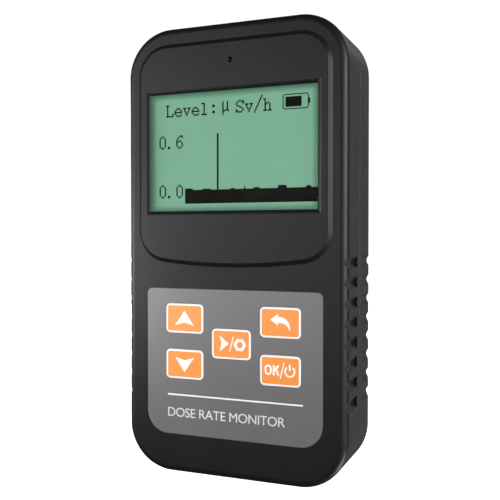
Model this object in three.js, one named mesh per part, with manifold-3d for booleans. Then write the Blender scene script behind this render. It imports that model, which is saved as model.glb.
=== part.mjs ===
// Handheld geiger counter: a two-part case screwed together from behind, a raised display surround with
// a lens and a liquid crystal display, a keypad film with five keys over tactile switches, one circuit
// board, a long detector tube held in two clips, and three battery cells behind a tilting door.
//
// Millimetres, +Z up. The front faces -Y and the case stands on its lower end.
// Inside this file every Y is a depth, measured from the case's front face towards its back. The group
// at the end moves the whole device so that its box is centred on X = 0 and Y = 0.

import * as THREE from "three";
import { mergeVertices } from "three/addons/utils/BufferGeometryUtils.js";
import Module from "manifold-3d";

const wasm = await Module();
wasm.setup();

// ---------------------------------------------------------------------------------------------
// Driving dimensions
// ---------------------------------------------------------------------------------------------

const GAP = 0.3; // free space between neighbouring pieces
const PASS = 1; // how far a cutting tool runs past the surface that it opens

// Facets: straight pieces that stand for an arc
const CASE_CORNER_FACETS = 5; // per quarter turn
const CORNER_FACETS = 4;
const SMALL_CORNER_FACETS = 2;
const EDGE_FACETS = 3;
const ROD_SIDES = 20;
const PIN_SIDES = 12;
const WIDE_ROD_SIDES = 28;
const NOTCH_SIDES = 16;

// Case
const WIDTH = 62.2;
const HEIGHT = 120;
const DEPTH = 25.6; // front face to back face
const CORNER_RADIUS = 12.75;
const FRONT_EDGE_RADIUS = 2.1;
const BACK_EDGE_RADIUS = 3;
const WALL = 2;
const SEAM = 12.75; // depth of the parting plane
const SEAM_GAP = 0.3;
const LIP_THICKNESS = 1;
const LIP_REACH = 1.3;

// Raised display surround
const PANEL_RISE = 0.8;
const PANEL_SLOPE = 1.1; // width of its sloping side
const PANEL_HALF_WIDTH = 27.35;
const PANEL_TOP = 115.5;
const PANEL_BOTTOM = 56.95;
const PANEL_BOW = 1.1; // how far the middle of its lower edge drops
const PANEL_RADIUS = 8.5;

// Display window, lens and display
const WINDOW_HALF_WIDTH = 23.5;
const WINDOW_LOW = 70.75;
const WINDOW_HIGH = 102.1;
const WINDOW_BEVEL = 1.2;
const WINDOW_BEVEL_DEPTH = 0.7;
const LENS_SEAT = 0.05; // depth of the face that the lens is glued to
const LENS_THICKNESS = 1;
const LENS_MARGIN = 1.7; // how far the lens reaches past the window
const LENS_RADIUS = 0.8;
const DISPLAY_FRONT = 1.8;
const GLASS_THICKNESS = 2.4;
const BACKLIGHT_THICKNESS = 2.9;
const DISPLAY_HALF_WIDTH = 25.1;
const DISPLAY_LOW = 69.1;
const DISPLAY_HIGH = 103.3;
const FRAME_WALL = 1.3;
const FRAME_BACK = 8;
const RIBBON_WIDTH = 20;
const RIBBON_THICKNESS = 0.3;
const RIBBON_DEPTH = 3;
const RIBBON_BEND = 2.2;
const RIBBON_BEND_HEIGHT = 63.2; // where the cable starts to bend back
const CONNECTOR_FRONT = 6.2;
const CONNECTOR_LOW = 59;
const CONNECTOR_HIGH = 63;
const CONNECTOR_MARGIN = 1.5; // how far it reaches past the cable at each side

// Indicator light
const LIGHT_HEIGHT = 109.8;
const LIGHT_HOLE_RADIUS = 0.6;
const LIGHT_PIPE_RADIUS = 1.5;
const LIGHT_NOSE_RADIUS = 0.35;
const LIGHT_NOSE_DEPTH = 0.5; // how far its tip stays below the face of the surround
const LED_RADIUS = 1.5;

// Keypad
const KEYPAD_HALF_WIDTH = 24.9;
const KEYPAD_LOW = 10.57;
const KEYPAD_HIGH = 49.97;
const KEYPAD_UPPER_RADIUS = 1.5;
const KEYPAD_LOWER_RADIUS = 6;
const KEYPAD_THICKNESS = 0.5;
const KEY_WIDTH = 11.05;
const KEY_HEIGHT = 7.88;
const KEY_RADIUS = 1.2;
const KEY_PROUD = 0.1; // how far a key stands out of the case's front face
const KEY_BACK = 3.7;
const KEY_COLLAR = 0.8; // how far the collar behind the case wall reaches past the key
const KEY_COLLAR_THICKNESS = 0.9;
const KEY_CROWN = 0.25; // chamfer round its face
const KEY_COLUMN = 13.6; // X of the left and right columns
const KEYS = [
  { name: "up", x: -KEY_COLUMN, z: 41.96 },
  { name: "down", x: -KEY_COLUMN, z: 29.63 },
  { name: "settings", x: 0, z: 35.72 },
  { name: "back", x: KEY_COLUMN, z: 41.96 },
  { name: "ok", x: KEY_COLUMN, z: 29.63 },
];
const SWITCH_SIZE = 6;
const SWITCH_FRONT = 4.8;
const PLUNGER_RADIUS = 1.75;
const PLUNGER_BACK = 7;

// Finger notches in both side walls
const NOTCH_COUNT = 8;
const NOTCH_TOP = 57.37;
const NOTCH_PITCH = 5.147;
const NOTCH_HALF_HEIGHT = 1.4;
const NOTCH_BITE = 0.9;
const NOTCH_FRONT_END = 10; // depth at which the front row stops
const NOTCH_BACK_START = 15.5; // depth at which the back row starts

// Circuit board
const BOARD_FRONT = 8.3;
const BOARD_THICKNESS = 1.6;
const BOARD_CLEARANCE = 0.4;
const BOARD_BACK = BOARD_FRONT + BOARD_THICKNESS;

// Components on the back of the board, placed by the X and Z of their middle
const PART_SEAT = BOARD_BACK + GAP;
const TRANSFORMER_X = -17;
const TRANSFORMER_Z = 80;
const CORE_HALF_WIDTH = 6.5;
const CORE_HALF_HEIGHT = 6;
const CORE_HALF_THICKNESS = 2.25;
const CORE_LIMB_HALF_WIDTH = 1.7; // of the middle limb, which carries the winding
const CORE_WINDOW_END = 4.3; // from the middle of the core to the far side of a window
const CORE_WINDOW_HALF_HEIGHT = 4;
const WINDING_HALF_THICKNESS = 4.6;
const HV_CAPACITOR = { x: -17, z: 92, width: 12, height: 5, thickness: 8, radius: 0.8 };
const MICROCONTROLLER = { x: -2, z: 80, width: 10, height: 10, thickness: 1.4, radius: 0.4 };
const CLOCK_CRYSTAL = { x: -1, z: 91, width: 11, height: 4.6, thickness: 3.4, radius: 2.2 };
const PART_CHAMFER = 0.3;
const CAN_X = 12;
const CAN_Z = 74;
const CAN_RADIUS = 3.15;
const CAN_LENGTH = 7.2;
const CAN_GROOVE = 0.35;
const CAN_GROOVE_START = 0.9;

// Screws
const CASE_SCREW_X = 24.2;
const CASE_SCREW_INSET = 7.2; // from the case's lower and upper ends
const CASE_BOSS_RADIUS = 3;
const CASE_SCREW_RADIUS = 1;
const CASE_SCREW_HEAD_RADIUS = 2.3;
const CASE_SCREW_HEAD_THICKNESS = 1.5;
const CASE_SCREW_FRONT = 5.5;
const COUNTERBORE_FLOOR = 15.5;
const COUNTERBORE_WALL = 0.9;
const BOARD_SCREW_X = 24;
const BOARD_SCREW_Z = 55.5;
const BOARD_POST_RADIUS = 2.5;
const BOARD_SCREW_RADIUS = 0.8;
const BOARD_SCREW_HEAD_RADIUS = 1.9;
const BOARD_SCREW_HEAD_THICKNESS = 1.2;
const BOARD_SCREW_FRONT = 4;
// Cross recess, as shares of the head's radius and thickness
const RECESS_ARM = 0.55;
const RECESS_HALF_WIDTH = 0.14;
const RECESS_FLOOR = 0.45;

// Battery bay: three AAA cells side by side, the middle one turned round
const CELL_RADIUS = 5.25;
const CELL_LENGTH = 44.5;
const CELL_NUB_RADIUS = 1.9;
const CELL_NUB_LENGTH = 1;
const CELL_EDGE = 0.4;
const CELL_PITCH = 11;
const CELL_FIRST_X = -21.25;
const CELL_DEPTH = 18.35;
const BAY_LEFT = -26.9;
const BAY_RIGHT = 6.4;
const BAY_LOW = 12.6;
const BAY_HIGH = 63.8;
const BAY_FLOOR = 12.8;
const BAY_FLOOR_THICKNESS = 1;
const BAY_WALL = 1.6;
const BAY_END_WALL = 1.2;
const CONTACT_THICKNESS = 0.4;
const CONTACT_HALF_WIDTH = 3.75;
const CONTACT_FRONT = 15;
const CONTACT_BACK = 21;
const CONTACT_TAIL_HALF_WIDTH = 1;
const SPRING_WIRE = 0.35; // radius of the wire
const SPRING_TURNS = 3.5;
const SPRING_BASE_RADIUS = 3.6;
const SPRING_TIP_RADIUS = 2;
const SPRING_STEPS = 10; // straight pieces per turn

// Battery door
const DOOR_LEFT = -27.4;
const DOOR_RIGHT = 6.9;
const DOOR_LOW = 11.9;
const DOOR_HIGH = 65;
const DOOR_THICKNESS = 1.7;
const DOOR_RADIUS = 1.5;
const DOOR_TAB_WIDTH = 5;
const DOOR_TAB_REACH = 2.2;
const DOOR_TAB_FRONT = 22.2;
const DOOR_TAB_XS = [-15.75, -4.75];
const DOOR_TAB_ROOT = 0.7; // how far a tab starts below the upper end of the bay
const THUMB_REST_Z = 17;
const THUMB_REST_RADIUS = 9;
const THUMB_REST_BITE = 0.8;
const THUMB_REST_LENGTH = 14;
const THUMB_REST_SIDES = 40;

// Detector tube
const TUBE_X = 21.6;
const TUBE_DEPTH = 17.3;
const TUBE_RADIUS = 5;
const TUBE_LOW = 14;
const TUBE_HIGH = 104;
const TUBE_CAP_LENGTH = 6;
const TUBE_CAP_RADIUS = 4;
const TUBE_CAP_CHAMFER = 0.6;
const TUBE_TIP_RADIUS = 1.1;
const TUBE_TIP_LENGTH = 1;
const CLIP_THICKNESS = 0.45;
const CLIP_WIDTH = 3.6;
const CLIP_FOOT_HALF_WIDTH = 1.5;
const CLIP_MOUTH = 0.45; // how far behind the tube's middle the clip opens, as a share of its radius
const SLOT_COUNT = 12;
const SLOT_WIDTH = 9;
const SLOT_HEIGHT = 2;
const SLOT_PITCH = 5;

// Sounder and its holes in the back wall
const SOUNDER_X = -14;
const SOUNDER_Z = 104;
const SOUNDER_RADIUS = 8.5;
const SOUNDER_THICKNESS = 2.4;
const RETAINER_WALL = 1;
const SOUND_HOLE_RADIUS = 0.8;
const SOUND_HOLE_RING = 3.6;
const SOUND_HOLE_COUNT = 6;

// Blank rating label
const LABEL_CENTRE = [-7.5, 82];
const LABEL_SIZE = [36, 18];
const LABEL_THICKNESS = 0.25;

// ---------------------------------------------------------------------------------------------
// Shapes and solids
// ---------------------------------------------------------------------------------------------

// A rectangle in the X, Z plane. radii: upper and lower corner radius.
function panelOutline(left, right, low, high, upperRadius, lowerRadius = upperRadius) {
  const shape = new THREE.Shape();
  shape.absarc(right - upperRadius, high - upperRadius, upperRadius, 0, Math.PI / 2);
  shape.absarc(left + upperRadius, high - upperRadius, upperRadius, Math.PI / 2, Math.PI);
  shape.absarc(left + lowerRadius, low + lowerRadius, lowerRadius, Math.PI, 1.5 * Math.PI);
  shape.absarc(right - lowerRadius, low + lowerRadius, lowerRadius, 1.5 * Math.PI, 2 * Math.PI);
  return shape;
}

// The case's outline, drawn in by inset.
function caseOutline(inset) {
  const half = WIDTH / 2 - inset;
  return panelOutline(-half, half, inset, HEIGHT - inset, CORNER_RADIUS - inset);
}

// An X, Z outline made into a slab between two depths. edge rounds or chamfers both of its rims.
function slab(outline, near, far, curveSegments = CORNER_FACETS, edge = null) {
  const { thickness = 0, size = 0, segments = 1 } = edge ?? {};
  const geometry = new THREE.ExtrudeGeometry(outline, {
    depth: far - near - 2 * thickness,
    curveSegments,
    bevelEnabled: edge !== null,
    bevelThickness: thickness,
    bevelSize: size,
    bevelOffset: -size,
    bevelSegments: segments,
  });
  return geometry.rotateX(Math.PI / 2).translate(0, far - thickness, 0);
}

// A depth, Z outline extruded from left to right along X.
function strip(outline, left, right, curveSegments = CORNER_FACETS) {
  const geometry = new THREE.ExtrudeGeometry(outline, {
    depth: right - left,
    curveSegments,
    bevelEnabled: false,
  });
  const turn = new THREE.Matrix4().makeBasis(
    new THREE.Vector3(0, 1, 0),
    new THREE.Vector3(0, 0, 1),
    new THREE.Vector3(1, 0, 0),
  );
  return geometry.applyMatrix4(turn).translate(left, 0, 0);
}

function block(left, right, near, far, low, high) {
  return new THREE.BoxGeometry(right - left, far - near, high - low).translate(
    (left + right) / 2,
    (near + far) / 2,
    (low + high) / 2,
  );
}

// A round rod that runs along Y.
function rod(radius, near, far, x, z, sides = ROD_SIDES) {
  return new THREE.CylinderGeometry(radius, radius, far - near, sides).translate(
    x,
    (near + far) / 2,
    z,
  );
}

// A round rod that runs along Z.
function post(radius, low, high, x, depth, sides = WIDE_ROD_SIDES) {
  return new THREE.CylinderGeometry(radius, radius, high - low, sides)
    .rotateX(Math.PI / 2)
    .translate(x, depth, (low + high) / 2);
}

// A turned piece. profile: [radius, height] pairs from the axis back to the axis, upwards.
function turned(profile, sides = ROD_SIDES) {
  const points = profile.map(([radius, height]) => new THREE.Vector2(radius, height));
  return new THREE.LatheGeometry(points, sides);
}

function solid(geometry) {
  const bare = geometry.clone();
  bare.deleteAttribute("normal");
  bare.deleteAttribute("uv");
  const merged = mergeVertices(bare);
  return new wasm.Manifold(
    new wasm.Mesh({
      numProp: 3,
      vertProperties: merged.attributes.position.array,
      triVerts: new Uint32Array(merged.index.array),
    }),
  );
}

function join(...geometries) {
  return geometries.map(solid).reduce((whole, piece) => whole.add(piece));
}

function geometryOf(manifold) {
  const { vertProperties, triVerts } = manifold.getMesh();
  const geometry = new THREE.BufferGeometry();
  geometry.setAttribute("position", new THREE.BufferAttribute(vertProperties, 3));
  geometry.setIndex(new THREE.BufferAttribute(triVerts, 1));
  geometry.computeVertexNormals();
  return geometry;
}

// ---------------------------------------------------------------------------------------------
// Materials
// ---------------------------------------------------------------------------------------------

function finish(color, roughness, metalness = 0) {
  return { color, roughness, metalness };
}

const CASE_PLASTIC = finish(0x2b2b2c, 0.55);
const LENS_PLASTIC = finish(0xa9bdb2, 0.08);
const KEYPAD_FILM = finish(0x8a8a8c, 0.5);
const KEY_PLASTIC = finish(0xff9a4d, 0.45);
const DISPLAY_GREEN = finish(0x7eae95, 0.2);
const WHITE_PLASTIC = finish(0xe8e8e2, 0.6);
const BLACK_PLASTIC = finish(0x1d1d1f, 0.5);
const BOARD_GREEN = finish(0x1f5b3a, 0.5);
const STEEL = finish(0xb9bcc0, 0.3, 1);
const NICKEL = finish(0xcfcdc4, 0.3, 1);
const BRASS = finish(0xc9a24a, 0.3, 1);
const COPPER = finish(0xa8592c, 0.35, 1);
const FERRITE = finish(0x3a3b3d, 0.7);
const TUBE_GLASS = finish(0x8f8a80, 0.15, 0.3);
const CELL_JACKET = finish(0x30343a, 0.35, 0.4);
const FILM_BROWN = finish(0x8c4a23, 0.6);
const LABEL_PAPER = finish(0xb5b6b8, 0.6);
const RIBBON_FILM = finish(0xb8752c, 0.4);

const device = new THREE.Group();

function piece(name, geometry, material) {
  const shape = geometry.isBufferGeometry ? geometry : geometryOf(geometry);
  const mesh = new THREE.Mesh(shape, new THREE.MeshStandardMaterial(material));
  mesh.name = name;
  device.add(mesh);
  return mesh;
}

// ---------------------------------------------------------------------------------------------
// Features that both halves of the case share
// ---------------------------------------------------------------------------------------------

const CASE_SCREWS = [-1, 1].flatMap((side) => [
  { x: side * CASE_SCREW_X, z: CASE_SCREW_INSET },
  { x: side * CASE_SCREW_X, z: HEIGHT - CASE_SCREW_INSET },
]);
const BOARD_SCREWS = [-1, 1].map((side) => ({ x: side * BOARD_SCREW_X, z: BOARD_SCREW_Z }));

// The rounded case body, kept only between two depths.
function caseBody(edgeRadius, near, far) {
  const edge = { thickness: edgeRadius, size: edgeRadius, segments: EDGE_FACETS };
  const body = solid(slab(caseOutline(0), 0, DEPTH, CASE_CORNER_FACETS, edge));
  const kept = solid(block(-WIDTH, WIDTH, near, far, -PASS, HEIGHT + PASS));
  return body.intersect(kept);
}

// Elliptical notches along both side walls between two depths.
function fingerNotches(near, far) {
  const notches = [];
  for (let row = 0; row < NOTCH_COUNT; row += 1) {
    for (const side of [-1, 1]) {
      const notch = new THREE.CylinderGeometry(1, 1, far - near, NOTCH_SIDES)
        .scale(NOTCH_BITE, 1, NOTCH_HALF_HEIGHT)
        .translate((side * WIDTH) / 2, (near + far) / 2, NOTCH_TOP - row * NOTCH_PITCH);
      notches.push(notch);
    }
  }
  return join(...notches);
}

// ---------------------------------------------------------------------------------------------
// Front half of the case
// ---------------------------------------------------------------------------------------------

function displaySurround() {
  const radius = PANEL_RADIUS;
  const low = PANEL_BOTTOM + radius;
  const high = PANEL_TOP - radius;
  const side = PANEL_HALF_WIDTH - radius;
  const shape = new THREE.Shape();
  shape.absarc(side, high, radius, 0, Math.PI / 2);
  shape.absarc(-side, high, radius, Math.PI / 2, Math.PI);
  shape.absarc(-side, low, radius, Math.PI, 1.5 * Math.PI);
  shape.quadraticCurveTo(0, PANEL_BOTTOM - 2 * PANEL_BOW, side, PANEL_BOTTOM);
  shape.absarc(side, low, radius, 1.5 * Math.PI, 2 * Math.PI);
  const slope = { thickness: PANEL_RISE, size: PANEL_SLOPE, segments: EDGE_FACETS };
  return slab(shape, -PANEL_RISE, WALL, CASE_CORNER_FACETS, slope);
}

function windowCutter() {
  const width = WINDOW_HALF_WIDTH + WINDOW_BEVEL;
  const low = WINDOW_LOW - WINDOW_BEVEL;
  const high = WINDOW_HIGH + WINDOW_BEVEL;
  const rectangle = new THREE.Shape();
  rectangle.moveTo(-width, low);
  rectangle.lineTo(width, low);
  rectangle.lineTo(width, high);
  rectangle.lineTo(-width, high);
  rectangle.closePath();
  const bevel = { thickness: WINDOW_BEVEL_DEPTH, size: WINDOW_BEVEL, segments: 1 };
  const bevelEnd = WINDOW_BEVEL_DEPTH - PANEL_RISE;
  const seat = LENS_MARGIN + GAP;
  return join(
    slab(rectangle, -PANEL_RISE - 2 * PASS, bevelEnd, 1, bevel),
    block(-WINDOW_HALF_WIDTH, WINDOW_HALF_WIDTH, -PASS, PASS, WINDOW_LOW, WINDOW_HIGH),
    block(
      -WINDOW_HALF_WIDTH - seat,
      WINDOW_HALF_WIDTH + seat,
      LENS_SEAT,
      WALL + PASS,
      WINDOW_LOW - seat,
      WINDOW_HIGH + seat,
    ),
  );
}

function keyOutline(key, grow) {
  const halfWidth = KEY_WIDTH / 2 + grow;
  const halfHeight = KEY_HEIGHT / 2 + grow;
  return panelOutline(
    key.x - halfWidth,
    key.x + halfWidth,
    key.z - halfHeight,
    key.z + halfHeight,
    KEY_RADIUS + grow,
  );
}

function keypadOutline(grow) {
  return panelOutline(
    -KEYPAD_HALF_WIDTH - grow,
    KEYPAD_HALF_WIDTH + grow,
    KEYPAD_LOW - grow,
    KEYPAD_HIGH + grow,
    KEYPAD_UPPER_RADIUS + grow,
    KEYPAD_LOWER_RADIUS + grow,
  );
}

function frontShell() {
  const edge = SEAM - SEAM_GAP / 2;
  let shell = caseBody(FRONT_EDGE_RADIUS, 0, edge);
  shell = shell.subtract(solid(slab(caseOutline(WALL), WALL, edge + PASS)));
  shell = shell.add(solid(displaySurround()));
  for (const { x, z } of CASE_SCREWS) {
    shell = shell.add(solid(rod(CASE_BOSS_RADIUS, WALL / 2, edge, x, z)));
    const hole = CASE_SCREW_RADIUS + GAP;
    shell = shell.subtract(
      solid(rod(hole, CASE_SCREW_FRONT - GAP, edge + PASS, x, z, PIN_SIDES)),
    );
  }
  for (const { x, z } of BOARD_SCREWS) {
    const top = BOARD_FRONT - GAP;
    const hole = BOARD_SCREW_RADIUS + GAP;
    shell = shell.add(solid(rod(BOARD_POST_RADIUS, WALL / 2, top, x, z)));
    shell = shell.subtract(
      solid(rod(hole, BOARD_SCREW_FRONT - GAP, top + PASS, x, z, PIN_SIDES)),
    );
  }
  shell = shell.subtract(windowCutter());
  shell = shell.subtract(
    solid(rod(LIGHT_HOLE_RADIUS, -PANEL_RISE - PASS, WALL + PASS, 0, LIGHT_HEIGHT, PIN_SIDES)),
  );
  shell = shell.subtract(solid(slab(keypadOutline(GAP), -PASS, KEYPAD_THICKNESS + GAP)));
  for (const key of KEYS) {
    const opening = slab(keyOutline(key, GAP), -PASS, WALL + PASS, SMALL_CORNER_FACETS);
    shell = shell.subtract(solid(opening));
  }
  return shell.subtract(fingerNotches(-PASS, NOTCH_FRONT_END));
}

// ---------------------------------------------------------------------------------------------
// Back half of the case, with the battery bay
// ---------------------------------------------------------------------------------------------

function seamLip() {
  const start = SEAM + SEAM_GAP / 2;
  const outside = WALL + GAP;
  const ring = solid(slab(caseOutline(outside), start - LIP_REACH, start + PASS));
  const hole = solid(
    slab(caseOutline(outside + LIP_THICKNESS), start - LIP_REACH - PASS, start + 2 * PASS),
  );
  let lip = ring.subtract(hole);
  for (const { x, z } of CASE_SCREWS) {
    const clear = CASE_BOSS_RADIUS + GAP;
    lip = lip.subtract(solid(rod(clear, start - LIP_REACH - PASS, start, x, z)));
  }
  return lip;
}

function detectorSlots() {
  const middle = (TUBE_LOW + TUBE_HIGH) / 2;
  const slots = [];
  for (let row = 0; row < SLOT_COUNT; row += 1) {
    const z = middle + (row - (SLOT_COUNT - 1) / 2) * SLOT_PITCH;
    const outline = panelOutline(
      TUBE_X - SLOT_WIDTH / 2,
      TUBE_X + SLOT_WIDTH / 2,
      z - SLOT_HEIGHT / 2,
      z + SLOT_HEIGHT / 2,
      SLOT_HEIGHT / 2,
    );
    slots.push(slab(outline, DEPTH - WALL - PASS, DEPTH + PASS, SMALL_CORNER_FACETS));
  }
  return join(...slots);
}

function soundHoles() {
  const far = DEPTH + PASS;
  const near = DEPTH - WALL - PASS;
  const holes = [rod(SOUND_HOLE_RADIUS, near, far, SOUNDER_X, SOUNDER_Z, PIN_SIDES)];
  for (let i = 0; i < SOUND_HOLE_COUNT; i += 1) {
    const angle = (i / SOUND_HOLE_COUNT) * 2 * Math.PI;
    const x = SOUNDER_X + SOUND_HOLE_RING * Math.cos(angle);
    const z = SOUNDER_Z + SOUND_HOLE_RING * Math.sin(angle);
    holes.push(rod(SOUND_HOLE_RADIUS, near, far, x, z, PIN_SIDES));
  }
  return join(...holes);
}

function batteryBay() {
  const front = BAY_FLOOR - BAY_FLOOR_THICKNESS;
  const left = -WIDTH / 2 + WALL + GAP;
  return block(
    left,
    BAY_RIGHT + BAY_WALL,
    front,
    DEPTH - WALL / 2,
    BAY_LOW - BAY_END_WALL,
    BAY_HIGH + BAY_END_WALL,
  );
}

function batteryBayCutters() {
  const ledge = DEPTH - WALL;
  const front = BAY_FLOOR - BAY_FLOOR_THICKNESS - PASS;
  const tailSlot = CONTACT_TAIL_HALF_WIDTH + GAP;
  const lastCell = CELL_FIRST_X + 2 * CELL_PITCH;
  const slotReach = 3 * GAP + CONTACT_THICKNESS;
  const cutters = [
    block(BAY_LEFT, BAY_RIGHT, BAY_FLOOR, DEPTH + PASS, BAY_LOW, BAY_HIGH),
    slab(doorOutline(GAP), ledge, DEPTH + PASS, SMALL_CORNER_FACETS),
    block(
      CELL_FIRST_X - tailSlot,
      CELL_FIRST_X + tailSlot,
      front,
      BAY_FLOOR + PASS,
      BAY_LOW,
      BAY_LOW + slotReach,
    ),
    block(
      lastCell - tailSlot,
      lastCell + tailSlot,
      front,
      BAY_FLOOR + PASS,
      BAY_HIGH - slotReach,
      BAY_HIGH,
    ),
  ];
  for (const x of DOOR_TAB_XS) {
    const half = DOOR_TAB_WIDTH / 2 + GAP;
    cutters.push(
      block(
        x - half,
        x + half,
        DOOR_TAB_FRONT - PASS,
        ledge,
        BAY_HIGH - PASS,
        DOOR_HIGH + DOOR_TAB_REACH + PASS,
      ),
    );
  }
  return join(...cutters);
}

// A disc round the sounder's axis, clear of the sounder and larger again by wall.
function sounderDisc(wall, near, far) {
  return rod(SOUNDER_RADIUS + GAP + wall, near, far, SOUNDER_X, SOUNDER_Z, WIDE_ROD_SIDES);
}

function labelSheet(grow, near, far) {
  const [x, z] = LABEL_CENTRE;
  const [width, height] = LABEL_SIZE;
  return block(
    x - width / 2 - grow,
    x + width / 2 + grow,
    near,
    far,
    z - height / 2 - grow,
    z + height / 2 + grow,
  );
}

function rearShell() {
  const edge = SEAM + SEAM_GAP / 2;
  const floor = DEPTH - WALL;
  let shell = caseBody(BACK_EDGE_RADIUS, edge, DEPTH);
  shell = shell.subtract(solid(slab(caseOutline(WALL), edge - PASS, floor)));
  shell = shell.add(seamLip()).add(solid(batteryBay()));
  const sideFill = block(
    -WIDTH / 2 + WALL / 2,
    BAY_LEFT,
    edge,
    DEPTH - WALL / 2,
    BAY_LOW - BAY_END_WALL,
    BAY_HIGH + BAY_END_WALL,
  );
  shell = shell.add(solid(sideFill));
  shell = shell.add(solid(sounderDisc(RETAINER_WALL, floor - SOUNDER_THICKNESS, floor + PASS)));
  shell = shell.subtract(solid(sounderDisc(0, floor - SOUNDER_THICKNESS - PASS, floor)));
  for (const { x, z } of CASE_SCREWS) {
    const bore = CASE_SCREW_HEAD_RADIUS + GAP;
    const hole = CASE_SCREW_RADIUS + GAP;
    shell = shell.add(solid(rod(bore + COUNTERBORE_WALL, edge, DEPTH - WALL / 2, x, z)));
    shell = shell.subtract(solid(rod(bore, COUNTERBORE_FLOOR, DEPTH + PASS, x, z)));
    shell = shell.subtract(solid(rod(hole, edge - PASS, DEPTH, x, z, PIN_SIDES)));
  }
  shell = shell.intersect(caseBody(BACK_EDGE_RADIUS, 0, DEPTH));
  const labelRecess = labelSheet(GAP, DEPTH - LABEL_THICKNESS - GAP, DEPTH + PASS);
  return shell
    .subtract(batteryBayCutters())
    .subtract(detectorSlots())
    .subtract(soundHoles())
    .subtract(solid(labelRecess))
    .subtract(fingerNotches(NOTCH_BACK_START, DEPTH + PASS));
}

// ---------------------------------------------------------------------------------------------
// Battery door: it tilts out about its upper edge, where two tabs reach behind the case wall
// ---------------------------------------------------------------------------------------------

function doorOutline(grow) {
  return panelOutline(
    DOOR_LEFT - grow,
    DOOR_RIGHT + grow,
    DOOR_LOW - grow,
    DOOR_HIGH + grow,
    DOOR_RADIUS + grow,
  );
}

function batteryDoor() {
  const inner = DEPTH - DOOR_THICKNESS;
  const tabBack = DEPTH - WALL - GAP;
  const root = BAY_HIGH - DOOR_TAB_ROOT;
  let door = solid(slab(doorOutline(0), inner, DEPTH, SMALL_CORNER_FACETS));
  for (const x of DOOR_TAB_XS) {
    const left = x - DOOR_TAB_WIDTH / 2;
    const right = x + DOOR_TAB_WIDTH / 2;
    const tab = join(
      block(left, right, DOOR_TAB_FRONT, tabBack, root, DOOR_HIGH + DOOR_TAB_REACH),
      block(left, right, DOOR_TAB_FRONT, inner + DOOR_THICKNESS / 2, root, DOOR_HIGH - GAP),
    );
    door = door.add(tab);
  }
  const thumbRest = new THREE.CylinderGeometry(
    THUMB_REST_RADIUS,
    THUMB_REST_RADIUS,
    THUMB_REST_LENGTH,
    THUMB_REST_SIDES,
  );
  const middle = (DOOR_LEFT + DOOR_RIGHT) / 2;
  const restCentre = DEPTH + THUMB_REST_RADIUS - THUMB_REST_BITE;
  thumbRest.rotateZ(Math.PI / 2).translate(middle, restCentre, THUMB_REST_Z);
  return door.subtract(solid(thumbRest));
}

// ---------------------------------------------------------------------------------------------
// Display, lens and indicator light
// ---------------------------------------------------------------------------------------------

function displayWindow() {
  const front = LENS_SEAT + GAP;
  const halfWidth = WINDOW_HALF_WIDTH + LENS_MARGIN;
  const outline = panelOutline(
    -halfWidth,
    halfWidth,
    WINDOW_LOW - LENS_MARGIN,
    WINDOW_HIGH + LENS_MARGIN,
    LENS_RADIUS,
  );
  return slab(outline, front, front + LENS_THICKNESS, SMALL_CORNER_FACETS);
}

function displayFrame() {
  const inner = DISPLAY_HALF_WIDTH + GAP;
  const outer = inner + FRAME_WALL;
  const low = DISPLAY_LOW - GAP;
  const high = DISPLAY_HIGH + GAP;
  const front = WALL + GAP;
  const ring = solid(
    block(-outer, outer, front, FRAME_BACK, low - FRAME_WALL, high + FRAME_WALL),
  );
  const opening = block(-inner, inner, front - PASS, FRAME_BACK + PASS, low, high);
  const ribbonPass = block(
    -RIBBON_WIDTH / 2 - GAP,
    RIBBON_WIDTH / 2 + GAP,
    front - PASS,
    RIBBON_DEPTH + RIBBON_THICKNESS + GAP,
    low - FRAME_WALL - PASS,
    low + PASS,
  );
  return ring.subtract(join(opening, ribbonPass));
}

function displaySheet(near, thickness) {
  const half = DISPLAY_HALF_WIDTH;
  return block(-half, half, near, near + thickness, DISPLAY_LOW, DISPLAY_HIGH);
}

// Flat flexible cable: down from the glass, round a bend and straight back into its connector.
function ribbonOutline() {
  const half = RIBBON_THICKNESS / 2;
  const top = DISPLAY_LOW - GAP;
  const bend = RIBBON_DEPTH + RIBBON_BEND;
  const low = RIBBON_BEND_HEIGHT - RIBBON_BEND;
  const end = CONNECTOR_FRONT - GAP;
  const shape = new THREE.Shape();
  shape.moveTo(RIBBON_DEPTH + half, top);
  shape.lineTo(RIBBON_DEPTH - half, top);
  shape.absarc(bend, RIBBON_BEND_HEIGHT, RIBBON_BEND + half, Math.PI, 1.5 * Math.PI);
  shape.lineTo(end, low - half);
  shape.lineTo(end, low + half);
  shape.absarc(bend, RIBBON_BEND_HEIGHT, RIBBON_BEND - half, 1.5 * Math.PI, Math.PI, true);
  return shape;
}

// A rod between the LED and the case wall, with a thin nose in the hole of the wall.
function lightPipe() {
  const front = WALL + GAP;
  const back = CONNECTOR_FRONT - GAP;
  const tip = LIGHT_NOSE_DEPTH - PANEL_RISE;
  return join(
    rod(LIGHT_PIPE_RADIUS, front, back, 0, LIGHT_HEIGHT),
    rod(LIGHT_NOSE_RADIUS, tip, front + PASS, 0, LIGHT_HEIGHT, PIN_SIDES),
  );
}

// A short collar under a dome, pointing to the front.
function statusLed() {
  const radius = LED_RADIUS;
  const height = BOARD_FRONT - GAP - CONNECTOR_FRONT;
  const collar = height - radius;
  const profile = [
    [0, 0],
    [radius, 0],
    [radius, collar],
    [radius * Math.cos(Math.PI / 6), collar + radius * Math.sin(Math.PI / 6)],
    [radius * Math.cos(Math.PI / 3), collar + radius * Math.sin(Math.PI / 3)],
    [0, height],
  ];
  return turned(profile)
    .rotateX(Math.PI)
    .translate(0, BOARD_FRONT - GAP, LIGHT_HEIGHT);
}

// ---------------------------------------------------------------------------------------------
// Keypad
// ---------------------------------------------------------------------------------------------

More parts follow.
